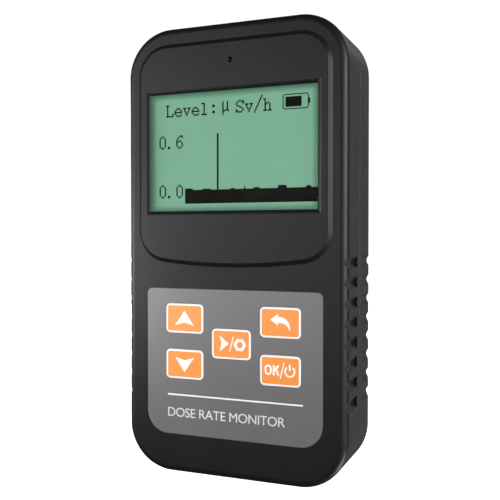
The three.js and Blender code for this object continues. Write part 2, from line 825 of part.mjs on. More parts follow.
function keypadFilm() {
  const outline = keypadOutline(0);
  for (const key of KEYS) {
    outline.holes.push(keyOutline(key, GAP));
  }
  return slab(outline, 0, KEYPAD_THICKNESS);
}

function keyCap(key) {
  const collarFront = WALL + GAP;
  const collarBack = collarFront + KEY_COLLAR_THICKNESS;
  const crown = { thickness: KEY_CROWN, size: KEY_CROWN, segments: 1 };
  return join(
    slab(keyOutline(key, 0), -KEY_PROUD, collarFront + 2 * KEY_CROWN, SMALL_CORNER_FACETS, crown),
    slab(keyOutline(key, KEY_COLLAR), collarFront, collarBack, SMALL_CORNER_FACETS),
    rod(PLUNGER_RADIUS, collarFront, KEY_BACK, key.x, key.z),
  );
}

function switchBody(key) {
  const half = SWITCH_SIZE / 2;
  const back = BOARD_FRONT - GAP;
  const body = block(
    key.x - half,
    key.x + half,
    SWITCH_FRONT,
    back,
    key.z - half,
    key.z + half,
  );
  const socket = rod(
    PLUNGER_RADIUS + GAP,
    SWITCH_FRONT - PASS,
    PLUNGER_BACK + 2 * GAP,
    key.x,
    key.z,
  );
  return solid(body).subtract(solid(socket));
}

// ---------------------------------------------------------------------------------------------
// Circuit board and what is on it
// ---------------------------------------------------------------------------------------------

function mainBoard() {
  let board = solid(slab(caseOutline(WALL + BOARD_CLEARANCE), BOARD_FRONT, BOARD_BACK));
  for (const { x, z } of CASE_SCREWS) {
    const side = Math.sign(x);
    const end = Math.sign(z - HEIGHT / 2);
    const clear = CASE_BOSS_RADIUS + GAP;
    const outX = x + side * 2 * CASE_BOSS_RADIUS;
    const outZ = z + end * 2 * CASE_BOSS_RADIUS;
    const notch = block(
      Math.min(x - side * clear, outX),
      Math.max(x - side * clear, outX),
      BOARD_FRONT - PASS,
      BOARD_BACK + PASS,
      Math.min(z - end * clear, outZ),
      Math.max(z - end * clear, outZ),
    );
    board = board.subtract(solid(notch));
  }
  for (const { x, z } of BOARD_SCREWS) {
    const radius = BOARD_SCREW_RADIUS + GAP;
    const hole = rod(radius, BOARD_FRONT - PASS, BOARD_BACK + PASS, x, z, PIN_SIDES);
    board = board.subtract(solid(hole));
  }
  return board;
}

// A screw that points to the front: shank first, then its head with a cross recess.
function screw(place, front, seat, shankRadius, headRadius, headThickness) {
  const shank = rod(shankRadius, front, seat + headThickness / 2, place.x, place.z, PIN_SIDES);
  const head = rod(headRadius, seat, seat + headThickness, place.x, place.z);
  const arm = headRadius * RECESS_ARM;
  const half = headRadius * RECESS_HALF_WIDTH;
  const recessFront = seat + headThickness * RECESS_FLOOR;
  const recessBack = seat + headThickness + PASS;
  const cross = join(
    block(place.x - arm, place.x + arm, recessFront, recessBack, place.z - half, place.z + half),
    block(place.x - half, place.x + half, recessFront, recessBack, place.z - arm, place.z + arm),
  );
  return join(shank, head).subtract(cross);
}

// A block round the transformer's middle, by its half sizes.
function transformerBlock(halfWidth, halfThickness, halfHeight, offset = 0) {
  const x = TRANSFORMER_X + offset;
  const middle = PART_SEAT + WINDING_HALF_THICKNESS;
  return block(
    x - halfWidth,
    x + halfWidth,
    middle - halfThickness,
    middle + halfThickness,
    TRANSFORMER_Z - halfHeight,
    TRANSFORMER_Z + halfHeight,
  );
}

function transformerCore() {
  const core = transformerBlock(CORE_HALF_WIDTH, CORE_HALF_THICKNESS, CORE_HALF_HEIGHT);
  const halfWindow = (CORE_WINDOW_END - CORE_LIMB_HALF_WIDTH) / 2;
  const offset = CORE_LIMB_HALF_WIDTH + halfWindow;
  const through = CORE_HALF_THICKNESS + PASS;
  const windows = join(
    transformerBlock(halfWindow, through, CORE_WINDOW_HALF_HEIGHT, -offset),
    transformerBlock(halfWindow, through, CORE_WINDOW_HALF_HEIGHT, offset),
  );
  return solid(core).subtract(windows);
}

function transformerWinding() {
  const halfHeight = CORE_WINDOW_HALF_HEIGHT - GAP;
  const coil = transformerBlock(CORE_WINDOW_END - GAP, WINDING_HALF_THICKNESS, halfHeight);
  const hole = transformerBlock(
    CORE_LIMB_HALF_WIDTH + GAP,
    CORE_HALF_THICKNESS + GAP,
    halfHeight + PASS,
  );
  return solid(coil).subtract(solid(hole));
}

function roundedPart({ x, z, width, height, thickness, radius }) {
  const outline = panelOutline(
    x - width / 2,
    x + width / 2,
    z - height / 2,
    z + height / 2,
    radius,
  );
  const edge = { thickness: PART_CHAMFER, size: PART_CHAMFER, segments: 1 };
  return slab(outline, PART_SEAT, PART_SEAT + thickness, SMALL_CORNER_FACETS, edge);
}

function canCapacitor() {
  const grooveMiddle = CAN_GROOVE_START + CAN_GROOVE;
  const grooveEnd = grooveMiddle + CAN_GROOVE;
  const profile = [
    [0, 0],
    [CAN_RADIUS, 0],
    [CAN_RADIUS, CAN_GROOVE_START],
    [CAN_RADIUS - CAN_GROOVE, grooveMiddle],
    [CAN_RADIUS, grooveEnd],
    [CAN_RADIUS, CAN_LENGTH - CAN_GROOVE],
    [CAN_RADIUS - CAN_GROOVE, CAN_LENGTH],
    [0, CAN_LENGTH],
  ];
  return turned(profile).translate(CAN_X, PART_SEAT, CAN_Z);
}

// ---------------------------------------------------------------------------------------------
// Detector tube and clips
// ---------------------------------------------------------------------------------------------

function tubeCap(direction) {
  const length = TUBE_CAP_LENGTH - GAP;
  const shoulder = length - TUBE_TIP_LENGTH;
  const profile = [
    [0, 0],
    [TUBE_CAP_RADIUS, 0],
    [TUBE_CAP_RADIUS, shoulder - TUBE_CAP_CHAMFER],
    [TUBE_CAP_RADIUS - TUBE_CAP_CHAMFER, shoulder],
    [TUBE_TIP_RADIUS, shoulder],
    [TUBE_TIP_RADIUS, length],
    [0, length],
  ];
  const start = direction > 0 ? TUBE_HIGH - length : TUBE_LOW + length;
  return turned(profile)
    .rotateX((direction * Math.PI) / 2)
    .translate(TUBE_X, TUBE_DEPTH, start);
}

function tubeClip(z) {
  const inner = TUBE_CAP_RADIUS + GAP;
  const outer = inner + CLIP_THICKNESS;
  const low = z - CLIP_WIDTH / 2;
  const high = z + CLIP_WIDTH / 2;
  const foot = block(
    TUBE_X - CLIP_FOOT_HALF_WIDTH,
    TUBE_X + CLIP_FOOT_HALF_WIDTH,
    PART_SEAT,
    TUBE_DEPTH - inner - CLIP_THICKNESS / 2,
    low,
    high,
  );
  const ring = join(post(outer, low, high, TUBE_X, TUBE_DEPTH), foot);
  const mouth = block(
    TUBE_X - outer,
    TUBE_X + outer,
    TUBE_DEPTH + inner * CLIP_MOUTH,
    TUBE_DEPTH + outer + PASS,
    low - PASS,
    high + PASS,
  );
  return ring.subtract(join(post(inner, low - PASS, high + PASS, TUBE_X, TUBE_DEPTH), mouth));
}

// ---------------------------------------------------------------------------------------------
// Battery cells and contacts
// ---------------------------------------------------------------------------------------------

const PLATE_LOW = BAY_LOW + GAP;
const PLATE_HIGH = BAY_HIGH - GAP;
const SPRING_LENGTH = PLATE_HIGH - PLATE_LOW - 2 * CONTACT_THICKNESS - CELL_LENGTH - 3 * GAP;

function cellX(index) {
  return CELL_FIRST_X + index * CELL_PITCH;
}

function pointsUp(index) {
  return index !== 1;
}

// A cell with its nub up or down, standing clear of its flat contact on the nub's side.
function batteryCell(index) {
  const r = CELL_RADIUS;
  const body = CELL_LENGTH - CELL_NUB_LENGTH;
  const profile = [
    [0, 0],
    [r - CELL_EDGE, 0],
    [r, CELL_EDGE],
    [r, body - CELL_EDGE],
    [r - CELL_EDGE, body],
    [CELL_NUB_RADIUS, body],
    [CELL_NUB_RADIUS, CELL_LENGTH],
    [0, CELL_LENGTH],
  ];
  const up = pointsUp(index);
  const nubEnd = up
    ? PLATE_HIGH - CONTACT_THICKNESS - GAP
    : PLATE_LOW + CONTACT_THICKNESS + GAP;
  const start = up ? nubEnd - CELL_LENGTH : nubEnd + CELL_LENGTH;
  return turned(profile, WIDE_ROD_SIDES)
    .rotateX(up ? Math.PI / 2 : -Math.PI / 2)
    .translate(cellX(index), CELL_DEPTH, start);
}

class ConicalHelix extends THREE.Curve {
  constructor(baseRadius, tipRadius, length, turns) {
    super();
    Object.assign(this, { baseRadius, tipRadius, length, turns });
  }
  getPoint(t, target = new THREE.Vector3()) {
    const angle = t * this.turns * 2 * Math.PI;
    const radius = this.baseRadius + (this.tipRadius - this.baseRadius) * t;
    return target.set(radius * Math.cos(angle), radius * Math.sin(angle), t * this.length);
  }
}

function contactSpring(index) {
  const coil = SPRING_LENGTH - 2 * SPRING_WIRE;
  const path = new ConicalHelix(SPRING_BASE_RADIUS, SPRING_TIP_RADIUS, coil, SPRING_TURNS);
  const section = new THREE.Shape();
  section.absarc(0, 0, SPRING_WIRE, 0, 2 * Math.PI);
  const spring = new THREE.ExtrudeGeometry(section, {
    steps: SPRING_STEPS * SPRING_TURNS,
    curveSegments: EDGE_FACETS,
    extrudePath: path,
  });
  const up = pointsUp(index);
  if (!up) {
    spring.rotateX(Math.PI);
  }
  const plate = up
    ? PLATE_LOW + CONTACT_THICKNESS + GAP + SPRING_WIRE
    : PLATE_HIGH - CONTACT_THICKNESS - GAP - SPRING_WIRE;
  return spring.translate(cellX(index), CELL_DEPTH, plate);
}

// A contact plate from one cell to another, or a single one with a tail through the bay's floor.
function contactPlate(first, last, low, hasTail) {
  const high = low + CONTACT_THICKNESS;
  const plate = block(
    cellX(first) - CONTACT_HALF_WIDTH,
    cellX(last) + CONTACT_HALF_WIDTH,
    CONTACT_FRONT,
    CONTACT_BACK,
    low,
    high,
  );
  if (!hasTail) {
    return plate;
  }
  const tail = block(
    cellX(first) - CONTACT_TAIL_HALF_WIDTH,
    cellX(first) + CONTACT_TAIL_HALF_WIDTH,
    PART_SEAT,
    CONTACT_FRONT + PASS,
    low,
    high,
  );
  return join(plate, tail);
}

// ---------------------------------------------------------------------------------------------
// Assembly
// ---------------------------------------------------------------------------------------------

piece("front_shell", frontShell(), CASE_PLASTIC);
piece("rear_shell", rearShell(), CASE_PLASTIC);
piece("battery_door", batteryDoor(), CASE_PLASTIC);

piece("display_window", displayWindow(), LENS_PLASTIC);
piece("lcd_frame", displayFrame(), BLACK_PLASTIC);
piece("lcd_glass", displaySheet(DISPLAY_FRONT, GLASS_THICKNESS), DISPLAY_GREEN);
const backlightFront = DISPLAY_FRONT + GLASS_THICKNESS + GAP;
piece("lcd_backlight", displaySheet(backlightFront, BACKLIGHT_THICKNESS), WHITE_PLASTIC);
const ribbonSide = RIBBON_WIDTH / 2;
piece("lcd_ribbon", strip(ribbonOutline(), -ribbonSide, ribbonSide), RIBBON_FILM);
const connector = block(
  -ribbonSide - CONNECTOR_MARGIN,
  ribbonSide + CONNECTOR_MARGIN,
  CONNECTOR_FRONT,
  BOARD_FRONT - GAP,
  CONNECTOR_LOW,
  CONNECTOR_HIGH,
);
piece("ribbon_connector", connector, WHITE_PLASTIC);
piece("light_pipe", lightPipe(), LENS_PLASTIC);
piece("status_led", statusLed(), WHITE_PLASTIC);

piece("keypad_film", keypadFilm(), KEYPAD_FILM);
for (const key of KEYS) {
  piece("key_" + key.name, keyCap(key), KEY_PLASTIC);
  piece("switch_" + key.name, switchBody(key), STEEL);
  const plungerFront = KEY_BACK + GAP;
  const plunger = rod(PLUNGER_RADIUS, plungerFront, PLUNGER_BACK, key.x, key.z);
  piece("plunger_" + key.name, plunger, BLACK_PLASTIC);
}

piece("main_board", mainBoard(), BOARD_GREEN);
CASE_SCREWS.forEach((place, index) => {
  const body = screw(
    place,
    CASE_SCREW_FRONT,
    COUNTERBORE_FLOOR + GAP,
    CASE_SCREW_RADIUS,
    CASE_SCREW_HEAD_RADIUS,
    CASE_SCREW_HEAD_THICKNESS,
  );
  piece("case_screw_" + (index + 1), body, STEEL);
});
BOARD_SCREWS.forEach((place, index) => {
  const body = screw(
    place,
    BOARD_SCREW_FRONT,
    PART_SEAT,
    BOARD_SCREW_RADIUS,
    BOARD_SCREW_HEAD_RADIUS,
    BOARD_SCREW_HEAD_THICKNESS,
  );
  piece("board_screw_" + (index + 1), body, STEEL);
});

piece("transformer_core", transformerCore(), FERRITE);
piece("transformer_winding", transformerWinding(), COPPER);
piece("hv_capacitor", roundedPart(HV_CAPACITOR), FILM_BROWN);
piece("filter_capacitor", canCapacitor(), STEEL);
piece("microcontroller", roundedPart(MICROCONTROLLER), BLACK_PLASTIC);
piece("clock_crystal", roundedPart(CLOCK_CRYSTAL), NICKEL);
const sounderBack = DEPTH - WALL - GAP;
const sounderFront = DEPTH - WALL - SOUNDER_THICKNESS;
piece("sounder", sounderDisc(-GAP, sounderFront, sounderBack), BRASS);

const tubeLow = TUBE_LOW + TUBE_CAP_LENGTH;
const tubeHigh = TUBE_HIGH - TUBE_CAP_LENGTH;
piece("detector_tube", post(TUBE_RADIUS, tubeLow, tubeHigh, TUBE_X, TUBE_DEPTH), TUBE_GLASS);
piece("tube_anode_cap", tubeCap(1), NICKEL);
piece("tube_cathode_cap", tubeCap(-1), NICKEL);
const clipInset = TUBE_CAP_LENGTH / 2;
piece("tube_clip_upper", tubeClip(TUBE_HIGH - clipInset), BRASS);
piece("tube_clip_lower", tubeClip(TUBE_LOW + clipInset), BRASS);

for (const index of [0, 1, 2]) {
  piece("battery_cell_" + (index + 1), batteryCell(index), CELL_JACKET);
  piece("contact_spring_" + (index + 1), contactSpring(index), NICKEL);
}
const plateTop = PLATE_HIGH - CONTACT_THICKNESS;
piece("contact_bridge_upper", contactPlate(0, 1, plateTop, false), NICKEL);
piece("contact_bridge_lower", contactPlate(1, 2, PLATE_LOW, false), NICKEL);
piece("contact_negative", contactPlate(0, 0, PLATE_LOW, true), NICKEL);
piece("contact_positive", contactPlate(2, 2, plateTop, true), NICKEL);

piece("rating_label", labelSheet(0, DEPTH - LABEL_THICKNESS, DEPTH), LABEL_PAPER);

device.position.y = -(DEPTH - PANEL_RISE) / 2;
const part = new THREE.Group();
part.add(device);

export default part;
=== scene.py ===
import math
import re

import bmesh
import bpy
from mathutils import Matrix, Vector


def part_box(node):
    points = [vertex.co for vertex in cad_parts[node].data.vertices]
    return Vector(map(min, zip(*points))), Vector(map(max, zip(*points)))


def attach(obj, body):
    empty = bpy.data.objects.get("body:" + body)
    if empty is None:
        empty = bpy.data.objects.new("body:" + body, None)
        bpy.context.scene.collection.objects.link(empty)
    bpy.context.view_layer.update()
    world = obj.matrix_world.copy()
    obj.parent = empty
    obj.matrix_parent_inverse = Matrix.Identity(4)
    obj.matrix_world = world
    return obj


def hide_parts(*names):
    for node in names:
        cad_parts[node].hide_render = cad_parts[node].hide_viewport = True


# Looks of a handheld geiger counter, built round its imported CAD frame.
# Shapes are drawn in millimetres as (x, depth, z): x runs to the right of a person who faces the display,
# depth runs from the case's front face towards its back, and z runs up. settle() turns a finished shape
# into the frame's metres.

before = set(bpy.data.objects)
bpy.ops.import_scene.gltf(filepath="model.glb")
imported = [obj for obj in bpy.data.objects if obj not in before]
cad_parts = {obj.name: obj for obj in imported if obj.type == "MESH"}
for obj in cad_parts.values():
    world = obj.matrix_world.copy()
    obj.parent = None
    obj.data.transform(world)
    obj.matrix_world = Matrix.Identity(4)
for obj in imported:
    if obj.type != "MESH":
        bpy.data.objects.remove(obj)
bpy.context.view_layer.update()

MM = 0.001
FACE_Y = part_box("keypad_film")[0].y  # the keypad film lies flush with the case's front face


def node_box(name):
    """A CAD node's (left, right), (near, far) and (low, high) in millimetres, near and far as depths."""
    low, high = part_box(name)
    return (
        (low.x / MM, high.x / MM),
        ((low.y - FACE_Y) / MM, (high.y - FACE_Y) / MM),
        (low.z / MM, high.z / MM),
    )


def face_box(name):
    """A CAD node's (left, right) and (low, high)."""
    sides, _, heights = node_box(name)
    return sides, heights


def centre_of(name):
    (left, right), (low, high) = face_box(name)
    return (left + right) / 2, (low + high) / 2


# ---- Dimensions ----

(CASE_LEFT, CASE_RIGHT), (PANEL_FACE, _), (CASE_LOW, CASE_HIGH) = node_box("front_shell")
CASE_BACK = node_box("rear_shell")[1][1]
HALF_WIDTH = (CASE_RIGHT - CASE_LEFT) / 2
CORNER_RADIUS = 12.75
FRONT_EDGE = 2.1
BACK_EDGE = 3.0
WALL = 2.0
SEAM = 12.75
SEAM_CHAMFER = 0.08
SEAM_GAP = 0.06
CASE_SHARP = 24  # degrees between faces from which an edge of the case shows as sharp

PANEL_HALF = 27.35
PANEL_TOP = 115.5
PANEL_MIDDLE_LOW = 55.85
PANEL_RADIUS = 8.5
PANEL_BOTTOM_RADIUS = 162.0
PANEL_SLOPE = 1.15

WINDOW_HALF = 23.5
WINDOW_LOW = 70.75
WINDOW_HIGH = 102.1
PAINTED_SHADOW_SIDES = (-24.4, 23.0)  # edges of the display's visible area, where the painted shadow of the window's rim starts
PAINTED_SHADOW_HEIGHTS = (70.75, 102.35)
RIM_SHADE = 1.7  # how far that painted shadow reaches in
WINDOW_BEVEL = 1.35
WINDOW_ROUND = 1.5
WINDOW_TURN = 60
LENS_SEAT = 2.0
LENS_SEAT_DEPTH = 0.05
FILM_RECESS = 0.8

LIGHT_HEIGHT = 109.8
LIGHT_HOLE = 0.58
LIGHT_EDGE = 0.35

KEY_NAMES = ("up", "down", "settings", "back", "ok")
KEY_RADIUS = 1.2
KEY_BORDER = 0.5
KEY_COLLAR = 0.8
KEY_SHAFT_GAP = 0.3
KEY_STEM_RADIUS = 1.75
KEY_STEM_END = 3.7
FILM_UPPER_RADIUS = 1.5
FILM_LOWER_RADIUS = 6.0

NOTCH_COUNT = 8
NOTCH_TOP = 57.37
NOTCH_PITCH = 5.147
NOTCH_HALF_HEIGHT = 1.5
NOTCH_BITE = 0.95
NOTCH_FRONT_END = 10.0
NOTCH_BACK_START = 15.5

LIP_GAP = 0.3
LIP_THICKNESS = 1.0
LIP_REACH = 1.3

SCREW_BORE = 2.6
SCREW_BORE_EDGE = 0.35
COUNTERBORE_FLOOR = 15.5
BOSS_WALL = 0.9
CASE_POST = (3.0, 1.2)  # radius and bore of the posts that take the case screws
BOARD_POST = (2.5, 1.0)
BOARD_POST_END = 8.0
BOARD_BORE_START = 3.8
CASE_BORE_START = 5.0

BAY = (-26.9, 6.4, 12.6, 63.8)  # left, right, low, high
BAY_FLOOR = 12.8
BAY_WALL = 1.6
BAY_END_WALL = 1.2
CELL_XS = (-21.25, -10.25, 0.75)
CELL_DEPTH = 18.35
TURNED_CELL = 1  # index of the cell that stands the other way up
CONTACT_SLOT = 1.3
CONTACT_SLOT_HALF = 1.3

DOOR = ((-27.4, 6.9), (11.9, 65.0))  # (left, right), (low, high)
DOOR_RADIUS = 1.5
DOOR_THICKNESS = 1.7
DOOR_GAP = 0.14
DOOR_SINK = 0.04  # how far its face lies under the case's back
DOOR_TABS = (-15.75, -4.75)
DOOR_TAB_WIDTH = 5.0
DOOR_TAB_FRONT = 22.2
DOOR_TAB_TOP = 67.2

REST_Z = 17.0  # the thumb rest on the door
REST_RADIUS = 9.0
REST_BITE = 0.8
REST_HALF_LENGTH = 7.0
REST_CHAMFER = 0.4
REST_RIB = (5.2, 0.28, 0.22)  # half length, height and half width
REST_RIB_PITCH = 1.7

TUBE_X = 21.6
TUBE_DEPTH = 17.3
SLOT_COUNT = 12
SLOT_PITCH = 5.0
SLOT_SIZE = (9.0, 2.0)
SLOT_EDGE = 0.3
SLOT_MIDDLE = 59.0

SOUNDER_PLACE = (-14.0, 104.0)
SOUNDER_RADIUS = 8.5
SOUNDER_THICKNESS = 2.4
SOUND_HOLE = 0.8
SOUND_HOLE_EDGE = 0.2
SOUND_RING = 3.6

LABEL_RADIUS = 0.6
LABEL_BORDER = ((1.0, 0.5), (1.25, 0.3))  # inset and corner radius of the border's two edges

FIT = 0.06  # drawn gap round a piece that fills a hole
PASS = 1.0  # how far a cutter runs past what it cuts
LEAST_RADIUS = 0.05
BACK_MOUTH = CASE_BACK + 0.05  # where a cutter for a hole in the back starts

# ---- Mesh tools ----


def as_object(mesh, name="work"):
    data = bpy.data.meshes.new(name)
    mesh.to_mesh(data)
    mesh.free()
    result = bpy.data.objects.new(name, data)
    bpy.context.scene.collection.objects.link(result)
    return result


def closed(rings, cap=True):
    """A closed mesh through rings that all have the same number of points."""
    mesh = bmesh.new()
    rows = [[mesh.verts.new(point) for point in ring] for ring in rings]
    count = len(rows[0])
    pairs = list(zip(rows, rows[1:]))
    if not cap:
        pairs.append((rows[-1], rows[0]))
    for first, second in pairs:
        for i in range(count):
            j = (i + 1) % count
            mesh.faces.new((first[i], first[j], second[j], second[i]))
    if cap:
        mesh.faces.new(list(reversed(rows[0])))
        mesh.faces.new(rows[-1])
    bmesh.ops.recalc_face_normals(mesh, faces=mesh.faces)
    return mesh


def rounded(left, right, low, high, upper, lower=None, steps=12):
    """A rounded rectangle as (x, z) points, anticlockwise as seen from the front."""
    lower = upper if lower is None else lower
    corners = (
        (right - upper, high - upper, upper, 0),
        (left + upper, high - upper, upper, 90),
        (left + lower, low + lower, lower, 180),
        (right - lower, low + lower, lower, 270),
    )
    points = []
    for x, z, radius, start in corners:
        for i in range(steps + 1):
            angle = math.radians(start + 90 * i / steps)
            points.append((x + radius * math.cos(angle), z + radius * math.sin(angle)))
    return points


def rim(box, upper, lower=None, steps=12, grow=0.0):
    """The outline of a rounded box as a function of its inset. The corners draw in with the sides."""
    (left, right), (low, high) = box
    lower = upper if lower is None else lower
    return lambda inset: rounded(
        left - grow + inset,
        right + grow - inset,
        low - grow + inset,
        high + grow - inset,
        max(upper + grow - inset, LEAST_RADIUS),
        max(lower + grow - inset, LEAST_RADIUS),
        steps,
    )


def circle(x, z, radius, sides=32):
    angles = [2 * math.pi * i / sides for i in range(sides)]
    return [(x + radius * math.cos(a), z + radius * math.sin(a)) for a in angles]


def lofted(outline, profile, cap=True):
    """outline(inset) gives (x, z) points, and profile lists (inset, depth)."""
    rings = [[(x, depth, z) for x, z in outline(inset)] for inset, depth in profile]
    return closed(rings, cap)


def front_round(radius, depth=0.0, steps=8):
    """Profile points from a front face to the side that follows it."""
    turns = [math.radians(90 * i / steps) for i in range(steps + 1)]
    return [(radius * (1 - math.sin(t)), depth + radius * (1 - math.cos(t))) for t in turns]


def back_round(radius, depth, steps=8):
    return [(inset, depth - rise) for inset, rise in reversed(front_round(radius, 0.0, steps))]


def slab(outline, near, far, front=0.0, back=0.0, steps=3):
    """A slab between two depths with rounded front and back rims."""
    start = front_round(front, near, steps) if front else [(0.0, near)]
    end = back_round(back, far, steps) if back else [(0.0, far)]
    return lofted(outline, start + end)


def block(left, right, near, far, low, high):
    corners = [(left, low), (right, low), (right, high), (left, high)]
    return closed([[(x, depth, z) for x, z in corners] for depth in (near, far)])


def rod(radius, near, far, x, z, sides=32):
    return closed([[(px, depth, pz) for px, pz in circle(x, z, radius, sides)] for depth in (near, far)])


def turned(profile, axis, centre, sides=48):
    """A turned solid. profile: (radius, distance along axis) pairs that all have a radius over 0."""
    rings = []
    for radius, along in profile:
        ring = []
        for i in range(sides):
            angle = 2 * math.pi * i / sides
            a, b = radius * math.cos(angle), radius * math.sin(angle)
            x, depth, z = centre
            if axis == "z":
                ring.append((x + a, depth + b, z + along))
            elif axis == "y":
                ring.append((x + a, depth + along, z + b))
            else:
                ring.append((x + along, depth + a, z + b))
        rings.append(ring)
    return closed(rings)


def merged(meshes):
    """One bmesh that holds several, which must not overlap if it is used as a cutter."""
    whole = bmesh.new()
    for mesh in meshes:
        data = bpy.data.meshes.new("part")
        mesh.to_mesh(data)
        mesh.free()
        whole.from_mesh(data)
        bpy.data.meshes.remove(data)
    return whole


def boolean(body, meshes, operation):
    tool = as_object(merged(meshes))
    modifier = body.modifiers.new("boolean", "BOOLEAN")
    modifier.operation = operation
    modifier.solver = "MANIFOLD"
    modifier.object = tool
    graph = bpy.context.evaluated_depsgraph_get()
    result = bpy.data.meshes.new_from_object(body.evaluated_get(graph))
    body.modifiers.clear()
    spent = (body.data, tool.data)
    body.data = result
    bpy.data.objects.remove(tool)
    for data in spent:
        bpy.data.meshes.remove(data)


def cut(body, *meshes):
    boolean(body, meshes, "DIFFERENCE")


def weld(body, *meshes):
    boolean(body, meshes, "UNION")


def settle(piece, name, materials, body="case", replaces=(), sharp=32, soften=0.0):
    """Names a finished shape, gives it its materials and its place in the frame, and lets it ride."""
    if not isinstance(piece, bpy.types.Object):
        piece = as_object(piece)
    piece.name = name
    piece.data.name = name
    piece.data.transform(Matrix.Translation((0, FACE_Y, 0)) @ Matrix.Scale(MM, 4))
    materials = materials if isinstance(materials, (list, tuple)) else [materials]
    piece.data.materials.clear()
    for entry in materials:
        piece.data.materials.append(entry)
    piece.data.shade_smooth()
    piece.data.set_sharp_from_angle(angle=math.radians(sharp))
    if soften:
        bevel = piece.modifiers.new("soft_edges", "BEVEL")
        bevel.width = soften * MM
        bevel.segments = 2
        bevel.limit_method = "ANGLE"
        bevel.angle_limit = math.radians(sharp)
        bevel.harden_normals = False
    weighted = piece.modifiers.new("normals", "WEIGHTED_NORMAL")
    weighted.keep_sharp = True
    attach(piece, body)
    if replaces:
        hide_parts(*replaces)
    return piece


# ---- Materials ----


def add(tree, kind, inputs=None, **settings):
    node = tree.nodes.new("ShaderNode" + kind)
    for key, value in settings.items():
        setattr(node, key, value)
    for key, value in (inputs or {}).items():
        if isinstance(value, bpy.types.NodeSocket):
            tree.links.new(value, node.inputs[key])
        else:
            node.inputs[key].default_value = value
    return node


def start(name, roughness=0.5, metallic=0.0, specular=0.5, ior=1.5):
    """A new material with its tree and its Principled shader."""
    material = bpy.data.materials.new(name)
    material.use_nodes = True
    tree = material.node_tree
    shader = tree.nodes["Principled BSDF"]
    shader.inputs["Roughness"].default_value = roughness
    shader.inputs["Metallic"].default_value = metallic
    shader.inputs["Specular IOR Level"].default_value = specular
    shader.inputs["IOR"].default_value = ior
    return material, tree, shader


def object_place(tree):
    return add(tree, "TexCoord").outputs["Object"]


def calculate(tree, operation, first, second):
    return add(tree, "Math", {0: first, 1: second}, operation=operation).outputs["Value"]


def blend(tree, factor, first, second):
    inputs = {"Factor": factor, "A": first, "B": second}
    return add(tree, "Mix", inputs, data_type="RGBA").outputs["Result"]


def grey(value):
    return (value, value, value, 1.0)


def noise(tree, scale, detail=2.0, stretch=None):
    """A noise pattern in the object's own space, in features per metre."""
    place = object_place(tree)
    if stretch:
        place = add(tree, "Mapping", {"Vector": place, "Scale": stretch}).outputs["Vector"]
    return add(tree, "TexNoise", {"Vector": place, "Scale": scale, "Detail": detail}).outputs["Fac"]


def ramp(tree, factor, *stops):
    node = add(tree, "ValToRGB", {"Fac": factor})
    elements = node.color_ramp.elements
    while len(elements) < len(stops):
        elements.new(0.5)
    for element, (position, color) in zip(elements, stops):
        element.position = position
        element.color = color
    return node.outputs["Color"]


def remap(tree, factor, low, high, source=(0.3, 0.7)):
    node = add(
        tree,
        "MapRange",
        {"Value": factor, "From Min": source[0], "From Max": source[1], "To Min": low, "To Max": high},
    )
    return node.outputs["Result"]


def bump(tree, shader, height, strength, distance):
    node = add(tree, "Bump", {"Height": height, "Strength": strength, "Distance": distance * MM})
    tree.links.new(node.outputs["Normal"], shader.inputs["Normal"])


def moulded(name, dark, light, rough, grain=0.25, scale=2600, specular=0.5, ior=1.5):
    """Moulded plastic: fine spark-eroded grain, with slow changes of shade and gloss."""
    material, tree, shader = start(name, specular=specular, ior=ior)
    slow = noise(tree, 55, 3)
    tree.links.new(ramp(tree, slow, (0.3, dark), (0.7, light)), shader.inputs["Base Color"])
    tree.links.new(remap(tree, noise(tree, 140, 4), rough - 0.03, rough + 0.03), shader.inputs["Roughness"])
    bump(tree, shader, noise(tree, scale, 2), grain, 0.03)
    return material


def metal(name, dark, light, rough, stretch=None, grain=0.12):
    """Metal with fine drawn or rolled lines along the axis that stretch leaves short."""
    material, tree, shader = start(name, metallic=1.0)
    lines = noise(tree, 900, 3, stretch)
    tree.links.new(ramp(tree, lines, (0.35, dark), (0.65, light)), shader.inputs["Base Color"])
    tree.links.new(remap(tree, lines, rough - 0.06, rough + 0.08), shader.inputs["Roughness"])
    bump(tree, shader, lines, grain, 0.01)
    return material


case_plastic = moulded("case_plastic", grey(0.0074), grey(0.0086), 0.42, 0.2, specular=0.3)
film_grey = moulded(
    "film_grey", (0.125, 0.116, 0.1185, 1), (0.130, 0.121, 0.1235, 1), 0.42, 0.1, 3500, ior=1.9
)
key_orange = moulded("key_orange", (1.0, 0.305, 0.028, 1), (1.0, 0.32, 0.034, 1), 0.42, 0.05, 3500, ior=1.8)
print_white = moulded("print_white", grey(0.97), grey(1.0), 0.45, 0.05, 3500)
print_pale = moulded("print_pale", grey(0.74), grey(0.78), 0.45, 0.05, 3500)
black_plastic = moulded("black_plastic", grey(0.018), grey(0.026), 0.45)
smoke_plastic = moulded("smoke_plastic", grey(0.006), grey(0.008), 0.35, 0.02, 2500, 0.12)
white_plastic = moulded("white_plastic", (0.72, 0.72, 0.68, 1), (0.78, 0.78, 0.74, 1), 0.4, 0.08)
ferrite = moulded("ferrite", (0.035, 0.035, 0.038, 1), (0.06, 0.058, 0.056, 1), 0.75, 0.4, 1500)
capacitor_brown = moulded("capacitor_brown", (0.30, 0.055, 0.02, 1), (0.36, 0.07, 0.03, 1), 0.28, 0.08, 600)
label_silver = moulded("label_silver", grey(0.125), grey(0.14), 0.38, 0.03, 2500, 0.4)
ribbon_amber = moulded("ribbon_amber", (0.45, 0.17, 0.02, 1), (0.52, 0.22, 0.03, 1), 0.25, 0.05, 900)
steel = metal("zinc_steel", (0.50, 0.50, 0.49, 1), (0.66, 0.66, 0.65, 1), 0.3)
nickel = metal("nickel", (0.62, 0.60, 0.55, 1), (0.74, 0.72, 0.66, 1), 0.22)
brass = metal("brass", (0.60, 0.40, 0.13, 1), (0.72, 0.50, 0.18, 1), 0.28, (1, 1, 0.08))
